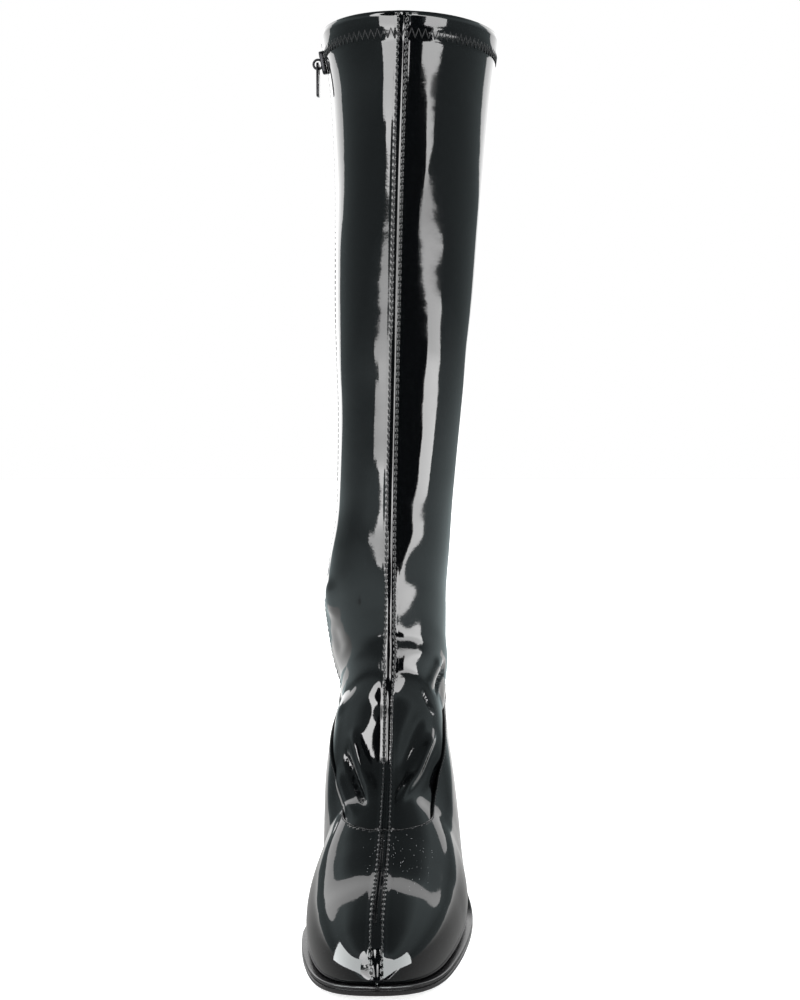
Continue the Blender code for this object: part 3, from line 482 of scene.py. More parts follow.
def line_distance(points, path):
    """Distance of every point to a line of straight stretches, and how far along the nearest is."""
    flat = points.reshape(-1, 3)
    best = np.full(len(flat), 1e9)
    share = np.zeros(len(flat))
    count = len(path) - 1
    for i in range(count):
        start, run = path[i], path[i + 1] - path[i]
        t = np.clip((flat - start) @ run / max(run @ run, 1e-18), 0, 1)
        gap = np.linalg.norm(flat - start - t[:, None] * run, axis=1)
        nearer = gap < best
        best = np.where(nearer, gap, best)
        share = np.where(nearer, (i + t) / count, share)
    return best.reshape(points.shape[:-1]), share.reshape(points.shape[:-1])


def fine_path(knots):
    """Points of the skin along a crease, from its few (station, degrees) knots."""
    places = np.arange(len(knots))
    fine = np.linspace(0, len(knots) - 1, CREASE_POINTS)
    station = smooth_curve(places, [knot[0] for knot in knots])(fine)
    turn = smooth_curve(places, [math.radians(knot[1]) for knot in knots])(fine)
    return skin_points(station, turn)


def crease_relief(points):
    """The height of all creases at points of the skin."""
    height = np.zeros(points.shape[:-1])
    for width, peak, knots in CREASES.values():
        gap, share = line_distance(points, fine_path(knots))
        ends = soft_step(share / CREASE_END_SHARE) * soft_step((1 - share) / CREASE_END_SHARE)
        height += peak * MM * ends * np.exp(-(gap / (width * MM)) ** 2)
    return height


def wave_relief(points):
    """The height of the shallow waves at points of the skin."""
    height = np.zeros(points.shape[:-1])
    for (station, degrees), up, across, peak in WAVES:
        turn = math.radians(degrees)
        centre = skin_points(station, turn)
        above, below = station + STATION_STEP, station - STATION_STEP
        rise = unit(skin_points(above, turn) - skin_points(below, turn))
        away = points - centre
        along = away @ rise
        aside = np.linalg.norm(away - along[..., None] * rise, axis=-1)
        bell = (along / (up * MM)) ** 2 + (aside / (across * MM)) ** 2
        height += peak * MM * np.exp(-bell)
    return height


def seam_relief(station, turn):
    """The front seam: a ridge of folded edges with a groove down its middle."""
    aside = np.abs(turn) * half_width(station, turn)
    ridge = SEAM_RIDGE * (1 - soft_step((aside - SEAM_RIDGE_HALF) / SEAM_RIDGE_FADE))
    groove = SEAM_GROOVE * np.exp(-(aside / SEAM_GROOVE_HALF) ** 2)
    return (ridge - groove) * soft_step(station / SEAM_FADE_STATION)


def throat_curve():
    """The throat seam in side view: the height of its edge for a place along the foot."""
    rows = [(y_at(along), last_bottom(y_at(along)) + up * INSTEP_RISE)
            for along, up in THROAT_LINE]
    return smooth_curve([row[0] for row in rows], [row[1] for row in rows])


THROAT_UP = throat_curve()
THROAT_FRONT_Y = y_at(THROAT_LINE[0][0])


def above_throat(points):
    """How far points lie above or behind the throat seam; negative on the vamp."""
    ahead = THROAT_FRONT_Y - points[..., 1]
    under = THROAT_UP(points[..., 1]) - points[..., 2]
    outside = np.hypot(np.maximum(ahead, 0), np.maximum(under, 0))
    return np.where(outside > 0, -outside, np.minimum(-ahead, -under))


def height_over_sole(points):
    """How far points lie above the top of the sole."""
    return points[..., 2] - last_bottom(points[..., 1])


def station_below_collar(drop, turn, steps):
    """The station that lies a drop below the collar, at a turn."""
    fine = np.linspace(TILT_START, TOP_STATION, steps)
    heights = skin_points(fine, turn)[:, 2]
    return float(np.interp(heights[-1] - drop, heights, fine))


HEM_STATION = station_below_collar(HEM_HEIGHT, 0.0, steps=400)
ZIP_LINE = skin_points(np.linspace(ZIP_STATION_BOTTOM, TOP_STATION, ZIP_LINE_STEPS), -ZIP_TURN)
ZIP_LINE = np.vstack([ZIP_LINE, ZIP_LINE[-1] + (0, 0, ZIP_LINE_OVER)])


def leg_relief(station, turn, points):
    """All relief of the leg, over the bare skin."""
    over_foot = soft_step((station - FOLDS_START_STATION) / FOLDS_START_FADE)
    hem = HEM_LIFT * soft_step((station - HEM_STATION) / HEM_STEP_STATION)
    gap, _ = line_distance(points, ZIP_LINE)
    facing = ZIP_FACING_LIFT * (1 - soft_step((gap - ZIP_FACING_HALF) / ZIP_FACING_FADE))
    from_back = (np.pi - np.abs(turn)) * BACK_RADIUS
    back = BACK_SEAM_GROOVE * np.exp(-(from_back / BACK_SEAM_HALF) ** 2) * (station > HEEL_CORNER)
    folds = (crease_relief(points) + wave_relief(points)) * over_foot
    return seam_relief(station, turn) + folds + hem + facing - back


def vamp_relief(station, turn, points):
    """All relief of the vamp and counter, over the bare skin."""
    below = np.clip(-above_throat(points), 0, None)
    gap, share = line_distance(points, fine_path(TOE_BREAK))
    hollow = TOE_BREAK_DEPTH * np.exp(-(gap / TOE_BREAK_HALF) ** 2) * np.sin(np.pi * share)
    lift = THROAT_LIFT + (VAMP_LIFT - THROAT_LIFT) * soft_step(below / THROAT_FEATHER)
    tuck = np.clip(1 - height_over_sole(points) / EDGE_ROUND, 0, 1)
    return lift + seam_relief(station, turn) - EDGE_TUCK * tuck ** 2 - hollow


print("hem starts at station", round(HEM_STATION, 3))

# %% [markdown]
# ## Sheets cut to their seams
# Each panel starts as Blender's own grid, whose corner points are placed on the skin. The grid's
# rows follow the slices, and its columns crowd together at the front seam, where the ridge is
# narrow. The panel's edge doesn't follow the grid, so the sheet is trimmed like leather: faces are
# split along the seam line and the waste falls away. A Solidify modifier then gives the wall.

# %% Rows and columns
SEAM_COLUMNS = 8
SEAM_BAND = 4.4 * MM
SEAM_BAND_LIMIT = 0.15
NARROWEST_HALF = 1 * MM
SIDE_COLUMNS = 58
FINE_STEPS = 800
SEAM_FINE_STEPS = 4000
MERGE = 0.02 * MM
SNAP_SHARE = 0.2


def column_turns(stations):
    """The turn of every column in every row: close together at the seam, then evenly spread."""
    sides = []
    for side in (-1.0, 1.0):
        cut = slice_measures(stations, np.full(len(stations), side))
        band = SEAM_BAND / np.maximum(cut["half"], NARROWEST_HALF)
        band = np.minimum(band, SEAM_BAND_LIMIT * cut["end"])
        near = band[:, None] * np.linspace(0, 1, SEAM_COLUMNS + 1)[None, :]
        spread = np.linspace(0, 1, SIDE_COLUMNS + 1)[1:]
        far = band[:, None] + (cut["end"] - band)[:, None] * spread[None, :]
        sides.append(side * np.hstack([near, far]))
    return np.hstack([sides[0][:, :0:-1], sides[1]])


def even_rows(start, end, count, turn):
    """Stations whose places along one line of the skin lie evenly spaced."""
    fine = np.linspace(start, end, FINE_STEPS)
    travelled = lengths_along(skin_points(fine, turn))
    return np.interp(np.linspace(0, travelled[-1], count + 1), travelled, fine)


def seam_lengths(stations):
    """Lengths along the front seam from the toe's tip."""
    fine = np.linspace(0.0, TOP_STATION, SEAM_FINE_STEPS)
    return np.interp(stations, fine, lengths_along(skin_points(fine, 0.0)))


def lay_grid(sheet, points):
    """Lay Blender's own grid on rows and columns of points; gives each corner, row and column."""
    rows, columns = points.shape[:2]
    made = bmesh.ops.create_grid(sheet, x_segments=columns - 1, y_segments=rows - 1, size=1)
    placed = []
    for vert in made["verts"]:
        column = round((vert.co.x + 1) / 2 * (columns - 1))
        row = round((vert.co.y + 1) / 2 * (rows - 1))
        vert.co = points[row, column]
        placed.append((vert, row, column))
    return placed


def skin_sheet(stations, relief):
    """A grid laid on the skin with its relief.

    Each point keeps its distance to the front seam and its length along it, for the finishes.
    """
    turns = column_turns(stations)
    station = np.broadcast_to(stations[:, None], turns.shape)
    bare = skin_points(station, turns)
    points = bare + skin_normals(station, turns) * relief(station, turns, bare)[..., None]
    asides = np.abs(turns) * half_width(station, turns)
    lengths = seam_lengths(stations)
    sheet = bmesh.new()
    aside_layer = sheet.verts.layers.float.new("seam_aside")
    along_layer = sheet.verts.layers.float.new("seam_along")
    for vert, row, column in lay_grid(sheet, points):
        vert[aside_layer] = float(asides[row, column])
        vert[along_layer] = float(lengths[row])
    bmesh.ops.remove_doubles(sheet, verts=sheet.verts, dist=MERGE)
    bmesh.ops.recalc_face_normals(sheet, faces=sheet.faces)
    return sheet


# %% Trimming a sheet along a line


def trim(sheet, waste):
    """Split the sheet where waste(points) crosses 0 and drop the side where it is above 0."""
    verts = list(sheet.verts)
    sheet.verts.index_update()
    value = waste(np.array([vert.co for vert in verts]))
    nearest = {}
    for edge in sheet.edges:
        a, b = edge.verts[0].index, edge.verts[1].index
        if value[a] * value[b] < 0:
            share = value[a] / (value[a] - value[b])
            for index, near in ((a, share), (b, 1 - share)):
                if near < SNAP_SHARE and near < nearest.get(index, (1,))[0]:
                    crossing = verts[a].co.lerp(verts[b].co, share)
                    nearest[index] = (near, crossing)
    for index, (_, crossing) in nearest.items():
        verts[index].co = crossing
        value[index] = 0.0
    side = {vert: value[i] for i, vert in enumerate(verts)}
    seam = [vert for vert in verts if side[vert] == 0]
    for edge in list(sheet.edges):
        a, b = edge.verts
        if side[a] * side[b] < 0:
            _, new = bmesh.utils.edge_split(edge, a, side[a] / (side[a] - side[b]))
            side[new] = 0.0
            seam.append(new)
    bmesh.ops.connect_verts(sheet, verts=seam)
    gone = [face for face in sheet.faces
            if sum(side[vert] for vert in face.verts) > 0]
    bmesh.ops.delete(sheet, geom=gone, context="FACES")


def new_object(name, body, material=None):
    """A linked object with the bmesh as its mesh."""
    mesh = bpy.data.meshes.new(name)
    body.to_mesh(mesh)
    body.free()
    thing = bpy.data.objects.new(name, mesh)
    bpy.context.scene.collection.objects.link(thing)
    if material:
        mesh.materials.append(material)
    return thing


def finish_piece(name, body, material, owner="boot", replaces=(), corners=None):
    """Turn a bmesh into a piece that rides on a body, crisp where it bends by corners degrees."""
    piece = new_object(name, body, material)
    piece.data.shade_smooth()
    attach(piece, owner)
    if replaces:
        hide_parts(*replaces)
    if corners:
        piece.data.set_sharp_from_angle(angle=math.radians(corners))
    print(f"{name}: {len(piece.data.polygons)} faces")
    return piece


def face_away(sheet):
    """Turn an open sheet's faces away from its middle."""
    middle = sum((vert.co for vert in sheet.verts), Vector()) / len(sheet.verts)
    votes = sum(face.calc_area() * face.normal.dot(face.calc_center_median() - middle)
                for face in sheet.faces)
    if votes < 0:
        bmesh.ops.reverse_faces(sheet, faces=sheet.faces)


def add_wall(piece, thickness, inside=None):
    """Give an open skin its wall, inwards from the skin."""
    wall = piece.modifiers.new("wall", "SOLIDIFY")
    wall.thickness = thickness
    wall.offset = -1
    wall.use_even_offset = False
    wall.use_quality_normals = True
    if inside is not None:
        piece.data.materials.append(inside)
        wall.material_offset = 1
        wall.material_offset_rim = 0


# %% [markdown]
# ## Finishes
# Patent is black knit under a clear, thick film of polyurethane. In a shader that is a nearly
# black base with low roughness and a clear coat on top. A perfect mirror would look like glass, so
# faint bumps are added: a soft ripple a finger's width across, which frays the edges of the
# reflections, a fine grain, and the film puffed up between the stitches of the front seam. Dust
# specks lie where the toe has been touched. What several finishes share lives in node groups with
# named inputs.

# %% Small helpers for nodes


def add_node(tree, kind, inputs=(), **settings):
    """A shader node; each of its inputs is given a plain value or the socket to link."""
    node = tree.nodes.new("ShaderNode" + kind)
    for name, value in settings.items():
        setattr(node, name, value)
    for socket, value in dict(inputs).items():
        if isinstance(value, bpy.types.NodeSocket):
            tree.links.new(value, node.inputs[socket])
        else:
            node.inputs[socket].default_value = value
    return node


def maths(tree, operation, *values):
    """The result of a maths node; each value is a number or the socket to link."""
    return add_node(tree, "Math", enumerate(values), operation=operation).outputs[0]


def object_place(tree):
    """The Object coordinates."""
    return add_node(tree, "TexCoord").outputs["Object"]


def bumped(tree, height, distance, normal=None):
    """The normal of a bump, over another normal if one is given."""
    inputs = {"Height": height, "Distance": distance}
    if normal is not None:
        inputs["Normal"] = normal
    return add_node(tree, "Bump", inputs).outputs["Normal"]


def new_group(name, inputs):
    """A node group that gives a normal; its inputs are numbers, or None for a normal."""
    group = bpy.data.node_groups.new(name, "ShaderNodeTree")
    for socket, default in inputs.items():
        kind = "NodeSocketVector" if default is None else "NodeSocketFloat"
        made = group.interface.new_socket(name=socket, in_out="INPUT", socket_type=kind)
        if default is not None:
            made.default_value = default
    group.interface.new_socket(name="Normal", in_out="OUTPUT", socket_type="NodeSocketVector")
    given = group.nodes.new("NodeGroupInput").outputs
    return group, given, group.nodes.new("NodeGroupOutput").inputs["Normal"]


# %% The two node groups


def ripple_group():
    """Soft ripple and fine grain as a normal."""
    group, given, result = new_group("Film ripple", {
        "Ripples per metre": 60.0, "Ripple height": 0.09 * MM,
        "Grains per metre": 900.0, "Grain height": 0.008 * MM})
    normal = None
    for scale, height, detail in (("Ripples per metre", "Ripple height", 2.0),
                                  ("Grains per metre", "Grain height", 1.0)):
        noise = add_node(group, "TexNoise", {"Vector": object_place(group),
                                             "Scale": given[scale], "Detail": detail})
        normal = bumped(group, noise.outputs["Fac"], given[height], normal)
    group.links.new(normal, result)
    return group


def bead_group():
    """The film puffed up between the stitches of the front seam's two rows, as a normal."""
    group, given, result = new_group("Seam beads", {
        "Row offset": 2.1 * MM, "Row width": 0.42 * MM, "Stitch pitch": 3.25 * MM,
        "Bead height": 0.22 * MM, "Normal": None})
    aside, along = (add_node(group, "Attribute", attribute_name=name).outputs["Fac"]
                    for name in ("seam_aside", "seam_along"))
    gap = maths(group, "SUBTRACT", aside, given["Row offset"])
    share = maths(group, "DIVIDE", gap, given["Row width"])
    square = maths(group, "MULTIPLY", share, share)
    bell = maths(group, "EXPONENT", maths(group, "MULTIPLY", square, -1.0))
    turns = maths(group, "DIVIDE", along, given["Stitch pitch"])
    wave = maths(group, "COSINE", maths(group, "MULTIPLY", turns, 2 * math.pi))
    puff = maths(group, "MULTIPLY", bell, maths(group, "ADD", wave, 1.0))
    group.links.new(bumped(group, puff, given["Bead height"], given["Normal"]), result)
    return group


FILM_RIPPLE = ripple_group()
SEAM_BEADS = bead_group()

# %% Finishes
DUST_PER_METRE = 900.0
DUST_MIDDLE = (0.004, -0.145, 0.066)
DUST_REACH = 34 * MM
DUST_SIZE = 0.13
DUST_COLOUR = (0.35, 0.35, 0.36, 1)
DUST_ROUGHNESS = 0.6
GLOSS_PATCHES_PER_METRE = 700
GLOSS_CHANGE = 0.25
PLIES_PER_METRE = 700
PLY_HEIGHT = 0.1 * MM
WEAVE_PER_METRE = 600
WEAVE_HEIGHT = 0.2 * MM


def new_finish(name, colour, roughness, **others):
    """A Principled material with its plain values on the shader's own sockets."""
    material = bpy.data.materials.new(name)
    material.use_nodes = True
    shader = material.node_tree.nodes["Principled BSDF"]
    shader.inputs["Base Color"].default_value = (*colour, 1)
    shader.inputs["Roughness"].default_value = roughness
    for socket, value in others.items():
        shader.inputs[socket.replace("_", " ")].default_value = value
    return material, material.node_tree, shader


def add_ripple(tree, shader, *values):
    """Link the shared ripple to a shader's normal: ripples, their height, grains, their height."""
    ripple = add_node(tree, "Group", node_tree=FILM_RIPPLE)
    for socket, value in zip(ripple.inputs, values):
        socket.default_value = value
    tree.links.new(ripple.outputs["Normal"], shader.inputs["Normal"])
    return ripple.outputs["Normal"]


def add_dust(tree, shader):
    """Dust specks on the film where it is touched, as a mask for colour and roughness."""
    place = object_place(tree)
    cells = add_node(tree, "TexVoronoi", {"Vector": place, "Scale": DUST_PER_METRE})
    chance = add_node(tree, "SeparateXYZ", {0: cells.outputs["Color"]}).outputs["X"]
    reach = add_node(tree, "VectorMath", {0: place, 1: DUST_MIDDLE}, operation="DISTANCE")
    near = maths(tree, "DIVIDE", reach.outputs["Value"], DUST_REACH)
    chosen = maths(tree, "LESS_THAN", maths(tree, "ADD", near, chance), 1.0)
    size = maths(tree, "LESS_THAN", cells.outputs["Distance"], DUST_SIZE)
    speck = maths(tree, "MULTIPLY", chosen, size)
    colour, rough = shader.inputs["Base Color"], shader.inputs["Roughness"]
    mix = add_node(tree, "Mix", {"A": colour.default_value[:], "B": DUST_COLOUR, "Factor": speck},
                   data_type="RGBA")
    tree.links.new(mix.outputs["Result"], colour)
    tree.links.new(maths(tree, "MULTIPLY_ADD", speck, DUST_ROUGHNESS, rough.default_value), rough)


def patent_finish(name, dusty=False):
    """Black patent film."""
    material, tree, shader = new_finish(name, (0.0012, 0.0014, 0.0016), 0.05,
                                        Coat_Weight=0.15, Coat_Roughness=0.04)
    if dusty:
        add_dust(tree, shader)
    ripple = add_ripple(tree, shader, 60.0, 0.09 * MM, 900.0, 0.008 * MM)
    beads = add_node(tree, "Group", {"Normal": ripple}, node_tree=SEAM_BEADS)
    tree.links.new(beads.outputs["Normal"], shader.inputs["Normal"])
    return material


def sole_finish():
    """Smooth black rubber with a faint grain."""
    material, tree, shader = new_finish("black sole", (0.006, 0.0055, 0.006), 0.22)
    add_ripple(tree, shader, 400.0, 0.06 * MM, 3000.0, 0.03 * MM)
    return material


def grained_finish(name, colour, roughness, grain, metallic=0.0):
    """A moulded or cast surface: fine grain, and a gloss that changes a little."""
    material, tree, shader = new_finish(name, colour, roughness, Metallic=metallic)
    add_ripple(tree, shader, 900.0, grain, 6000.0, grain / 4)
    noise = add_node(tree, "TexNoise", {"Vector": object_place(tree),
                                        "Scale": GLOSS_PATCHES_PER_METRE})
    gloss = maths(tree, "MULTIPLY_ADD", noise.outputs["Fac"], GLOSS_CHANGE, roughness - 0.1)
    tree.links.new(gloss, shader.inputs["Roughness"])
    return material


def thread_finish():
    """Bonded thread: two plies wound round each other, seen as a fine slanting wave."""
    material, tree, shader = new_finish("black thread", (0.004, 0.004, 0.0045), 0.5,
                                        Specular_IOR_Level=0.35)
    plies = add_node(tree, "TexWave", {"Vector": object_place(tree), "Scale": PLIES_PER_METRE},
                     bands_direction="DIAGONAL")
    tree.links.new(bumped(tree, plies.outputs["Fac"], PLY_HEIGHT), shader.inputs["Normal"])
    return material


def lining_finish(name, colour):
    """Plain woven lining."""
    material, tree, shader = new_finish(name, colour, 0.85)
    place = object_place(tree)
    ways = [add_node(tree, "TexWave", {"Vector": place, "Scale": WEAVE_PER_METRE},
                     bands_direction=way).outputs["Fac"] for way in ("Z", "X")]
    weave = maths(tree, "MULTIPLY", *ways)
    tree.links.new(bumped(tree, weave, WEAVE_HEIGHT), shader.inputs["Normal"])
    return material


PATENT = patent_finish("black patent")
DUSTY_PATENT = patent_finish("black patent with dust", dusty=True)
SOLE = sole_finish()
BACKING = lining_finish("knit backing", (0.02, 0.02, 0.022))
LINING = lining_finish("grey lining", (0.10, 0.10, 0.11))
TAPE = lining_finish("black tape", (0.012, 0.012, 0.013))
COIL = grained_finish("black nylon", (0.012, 0.012, 0.013), 0.34, 0.04 * MM)
METAL = grained_finish("black metal", (0.02, 0.02, 0.022), 0.26, 0.02 * MM, metallic=0.9)
THREAD = thread_finish()

# %% [markdown]
# ## The leg
# The real leg is two stretch panels, closed by a front seam and a back seam, with the zip set into
# the inner panel. One sheet serves for both panels, because the seams are pressed flat and only
# their relief shows. It runs a little way under the vamp, as the real one does.

# %% Make the leg
LEG_START_STATION = 3.9
SEAM_LAP_BACK = 4 * MM
SEAM_LAP_DOWN = 5 * MM
ANKLE_ROWS = 120
CALF_ROWS = 120
ANKLE_TOP_STATION = 12.5
ANKLE_ROWS_TURN = math.radians(60)


def make_leg():
    ankle = even_rows(LEG_START_STATION, ANKLE_TOP_STATION, ANKLE_ROWS, ANKLE_ROWS_TURN)
    calf = even_rows(ANKLE_TOP_STATION, TOP_STATION, CALF_ROWS, 0.0)
    sheet = skin_sheet(np.concatenate([ankle, calf[1:]]), leg_relief)
    lap = np.array([0.0, SEAM_LAP_BACK, SEAM_LAP_DOWN])
    trim(sheet, lambda points: -above_throat(points + lap))
    trim(sheet, lambda points: ZIP_SLIT / 2 - line_distance(points, ZIP_LINE)[0])
    face_away(sheet)
    leg = finish_piece("leg", sheet, PATENT, replaces=("shaft",))
    add_wall(leg, LEG_WALL, BACKING)


make_leg()

# %% [markdown]
# ## Vamp and counter
# Below the throat seam a second skin wraps the foot. It is pulled over the last and tucked between
# last and sole, which rounds its lower edge inwards. It lies over the leg by its own thickness and
# is thinned towards the seam, as a maker skives it.

# %% Make the vamp
VAMP_TOP_STATION = 12.6
VAMP_ROWS = 190


def make_vamp():
    stations = even_rows(0.0, VAMP_TOP_STATION, VAMP_ROWS, -math.pi)
    sheet = skin_sheet(stations, vamp_relief)
    trim(sheet, above_throat)
    trim(sheet, lambda points: -height_over_sole(points))
    face_away(sheet)
    vamp = finish_piece("vamp", sheet, DUSTY_PATENT, replaces=("upper",))
    add_wall(vamp, VAMP_WALL, BACKING)


make_vamp()

# %% [markdown]
# ## Sole, insole, heel and top lift
# The sole is a slim board with a rounded rim, wider than the upper, so that a ledge runs round the
# boot. Its side is turned with a groove between two bands. The rings below are the plan's outline,
# moved out or in and stacked at shares of the sole's height.

# %% Rings round the plan
TOE_LEDGE = 4.8 * MM
SEAT_LEDGE = 2.6 * MM
PLAN_STEPS = 90


def ledge(share):
    """How far the sole stands out from the last's edge."""
    front = soft_step((share - WAIST_START) / (TREAD_END - WAIST_START))
    return SEAT_LEDGE + (TOE_LEDGE - SEAT_LEDGE) * front


def plan_ring(outset, height):
    """Points round the plan, outset from the last's edge, at height(y)."""
    turn = np.pi * np.arange(PLAN_STEPS + 1) / PLAN_STEPS
    shares = (1 - np.cos(turn)) / 2
    inner = np.stack([INNER_EDGE(shares), y_at(shares)], axis=1)
    outer = np.stack([OUTER_EDGE(shares), y_at(shares)], axis=1)[-2:0:-1]
    ring = np.vstack([inner, outer])
    share = np.concatenate([shares, shares[-2:0:-1]])
    run = unit(np.roll(ring, -1, axis=0) - np.roll(ring, 1, axis=0))
    away = np.stack([run[:, 1], -run[:, 0]], axis=1)
    outwards = np.sign(np.sum(away * (ring - ring.mean(axis=0)), axis=1).sum())
    place = ring + outwards * away * outset(share)[:, None]
    return np.column_stack([place, height(place[:, 1])])


def closed_body(rings, across=False):
    """A closed body from rings of points, with flat ends, or ends filled by strips across."""
    body = bmesh.new()
    loops = [[body.verts.new(point) for point in ring] for ring in rings]
    size = len(loops[0])
    for lower, upper in zip(loops, loops[1:]):
        for i in range(size):
            j = (i + 1) % size
            body.faces.new((lower[i], lower[j], upper[j], upper[i]))
    for loop in (loops[0], loops[-1]):
        if not across:
            bmesh.ops.triangulate(body, faces=[body.faces.new(loop)])
            continue
        for i in range(size // 2):
            corners = []
            for corner in (loop[i], loop[i + 1], loop[-(i + 1) % size], loop[-i % size]):
                if corner not in corners:
                    corners.append(corner)
            if len(corners) > 2:
                body.faces.new(corners)
    if across:
        bmesh.ops.remove_doubles(body, verts=body.verts, dist=0.01 * MM)
    bmesh.ops.recalc_face_normals(body, faces=body.faces)
    return body


# %% The outsole
# Each profile from below: inset in mm, share of the thickness
SOLE_PROFILE = (
    (0.9, 0.00), (0.45, 0.04), (0.12, 0.12), (0.0, 0.20),
    (0.0, 0.46), (0.25, 0.50), (0.7, 0.54), (0.7, 0.64), (0.25, 0.68), (0.0, 0.72),
    (0.0, 0.86), (0.15, 0.94), (0.5, 0.985), (1.0, 1.00),
)
SOLE_CRISP = 50


def make_outsole():
    rings = [plan_ring(lambda share, inset=inset: ledge(share) - inset * MM,
                       lambda y, up=up: sole_bottom(y) + sole_thickness(y) * up)
             for inset, up in SOLE_PROFILE]
    finish_piece("sole", closed_body(rings, across=True), SOLE,
                 replaces=("outsole",), corners=SOLE_CRISP)


make_outsole()

# %% The insole
INSOLE_THICKNESS = 2 * MM
INSOLE_CLEARANCE = 1.1 * MM
INSOLE_PROFILE = ((0.0, 0.0), (0.0, 0.7), (0.3, 0.92), (0.9, 1.0))


def make_insole():
    rings = [plan_ring(lambda share, inset=inset: share * 0 - INSOLE_CLEARANCE - inset * MM,
                       lambda y, up=up: last_bottom(y) + INSOLE_THICKNESS * up)
             for inset, up in INSOLE_PROFILE]
    finish_piece("sock", closed_body(rings, across=True), LINING,
                 replaces=("insole",))


make_insole()

# %% Heel and top lift
HEEL_BREAST_Y = -23 * MM
LIFT_LENGTH = 43 * MM
LIFT_WIDTH = 45 * MM
LIFT_THICKNESS = 5 * MM
HEEL_GAP = 0.3 * MM
HEEL_EDGE = 0.4 * MM
HEEL_CORNER_RADIUS = 2.0 * MM
HEEL_BACK_POWER = 1.4
HEEL_WIDTH_POWER = 1.2
HEEL_SIDE_SHARE = 0.86
HEEL_LEVELS = np.linspace(0, 0.94, 12)
HEEL_ROUND_POINTS = 37
HEEL_CORNER_POINTS = 6
HEEL_CRISP = 50
LIFT_PROFILE = ((0.5, 0.0), (0.1, 0.4), (0.0, 0.9), (0.0, 4.1), (0.1, 4.6), (0.5, 5.0))


def heel_ring(top_share, height, inset=0.0):
    """One level of the heel, from the lift's outline at 0 to the seat's at 1."""
    seat_x = SEAT_SHIFT * BALL_WIDTH
    front = -LIFT_LENGTH / 2 + (HEEL_BREAST_Y + LIFT_LENGTH / 2) * top_share + inset
    back = HEEL_BACK_Y + SEAT_LEDGE
    rear = LIFT_LENGTH / 2 + (back - LIFT_LENGTH / 2) * top_share ** HEEL_BACK_POWER - inset
    top_width = SEAT_WIDTH + 2 * SEAT_LEDGE
    width = LIFT_WIDTH + (top_width - LIFT_WIDTH) * top_share ** HEEL_WIDTH_POWER - 2 * inset
    round_start = rear - width / 2
    turns = np.linspace(-np.pi / 2, np.pi / 2, HEEL_ROUND_POINTS)
    x = seat_x + width / 2 * np.sin(turns)
    y = round_start + width / 2 * np.cos(turns)
    corner = HEEL_CORNER_RADIUS
    bend = np.linspace(0, np.pi / 2, HEEL_CORNER_POINTS)
    for side, order in ((1, bend), (-1, bend[::-1])):
        x = np.append(x, seat_x + side * (width / 2 - corner + corner * np.cos(order)))
        y = np.append(y, front + corner - corner * np.sin(order))
    return np.column_stack([x, y, height(y)])


def make_heel():
    base = LIFT_THICKNESS + HEEL_GAP
    rings = [heel_ring(0.0, lambda y: base + 0 * y, HEEL_EDGE)]
    for level in HEEL_LEVELS:
        z = base + HEEL_EDGE + (HEEL_HEIGHT - base) * level * HEEL_SIDE_SHARE
        rings.append(heel_ring(level, lambda y, z=z: z + 0 * y))
    rings.append(heel_ring(1.0, lambda y: sole_bottom(y) - HEEL_GAP))
    finish_piece("heel_block", closed_body(rings), PATENT,
                 replaces=("heel",), corners=HEEL_CRISP)


def make_top_lift():
    """The heel's top lift; its profile gives inset and height in mm."""
    rings = [heel_ring(0.0, lambda y, up=up: up * MM + 0 * y, inset * MM)
             for inset, up in LIFT_PROFILE]
    finish_piece("heel_lift", closed_body(rings), SOLE,
                 replaces=("top_lift",), corners=HEEL_CRISP)


make_heel()
make_top_lift()

# %% [markdown]
# ## The zip
# A nylon coil zip is two woven tapes, each with a coiled plastic wire along its edge, and a slider
# that hooks the coils into each other. Down the closed zip each turn of the coil shows as a short
# bar across, alternately from the left and from the right. The bars are placed by a loop that
# walks down the zip's line and takes its directions from the skin.

# %% Places beside the zip's line


def turn_per_metre(station, turn):
    """How much turn one metre round the slice takes."""
    span = skin_points(station, turn + TURN_STEP) - skin_points(station, turn - TURN_STEP)
    return 2 * TURN_STEP / np.linalg.norm(span, axis=-1)


def beside_zip(station, across, outwards):
    """Points beside the zip's line: across is metres towards the back."""
    turn = -ZIP_TURN - across * turn_per_metre(station, -ZIP_TURN)
    return skin_points(station, turn) + skin_normals(station, turn) * outwards


# %% The tape
TAPE_WIDTH = 25 * MM
TAPE_THICKNESS = 0.8 * MM
TAPE_DEPTH = 1.9 * MM
TAPE_TOP_STATION = HEM_STATION + 0.1
TAPE_BOTTOM_STATION = ZIP_STATION_BOTTOM - 0.1
TAPE_ROWS = 150
TAPE_COLUMNS = 12


def make_tape():
    stations = np.linspace(TAPE_BOTTOM_STATION, TAPE_TOP_STATION, TAPE_ROWS + 1)
    across = np.linspace(-TAPE_WIDTH / 2, TAPE_WIDTH / 2, TAPE_COLUMNS + 1)
    sheet = bmesh.new()
    lay_grid(sheet, beside_zip(stations[:, None], across[None, :], -TAPE_DEPTH))
    sheet.normal_update()
    if next(iter(sheet.faces)).normal.x > 0:
        bmesh.ops.reverse_faces(sheet, faces=sheet.faces)
    tape = finish_piece("tape", sheet, TAPE, replaces=("zip_tape",))
    add_wall(tape, TAPE_THICKNESS)


make_tape()

# %% The coil's bars
COIL_PITCH = 1.5 * MM
COIL_BAR_LENGTH = 3.6 * MM
COIL_BAR_THICK = 0.95 * MM
COIL_BAR_ASIDE = 0.75 * MM
COIL_BAR_WAY = 2 * MM
COIL_SINK = 0.35 * MM
COIL_BOTTOM_STATION = ZIP_STATION_BOTTOM + 0.06
COIL_STEPS = 600


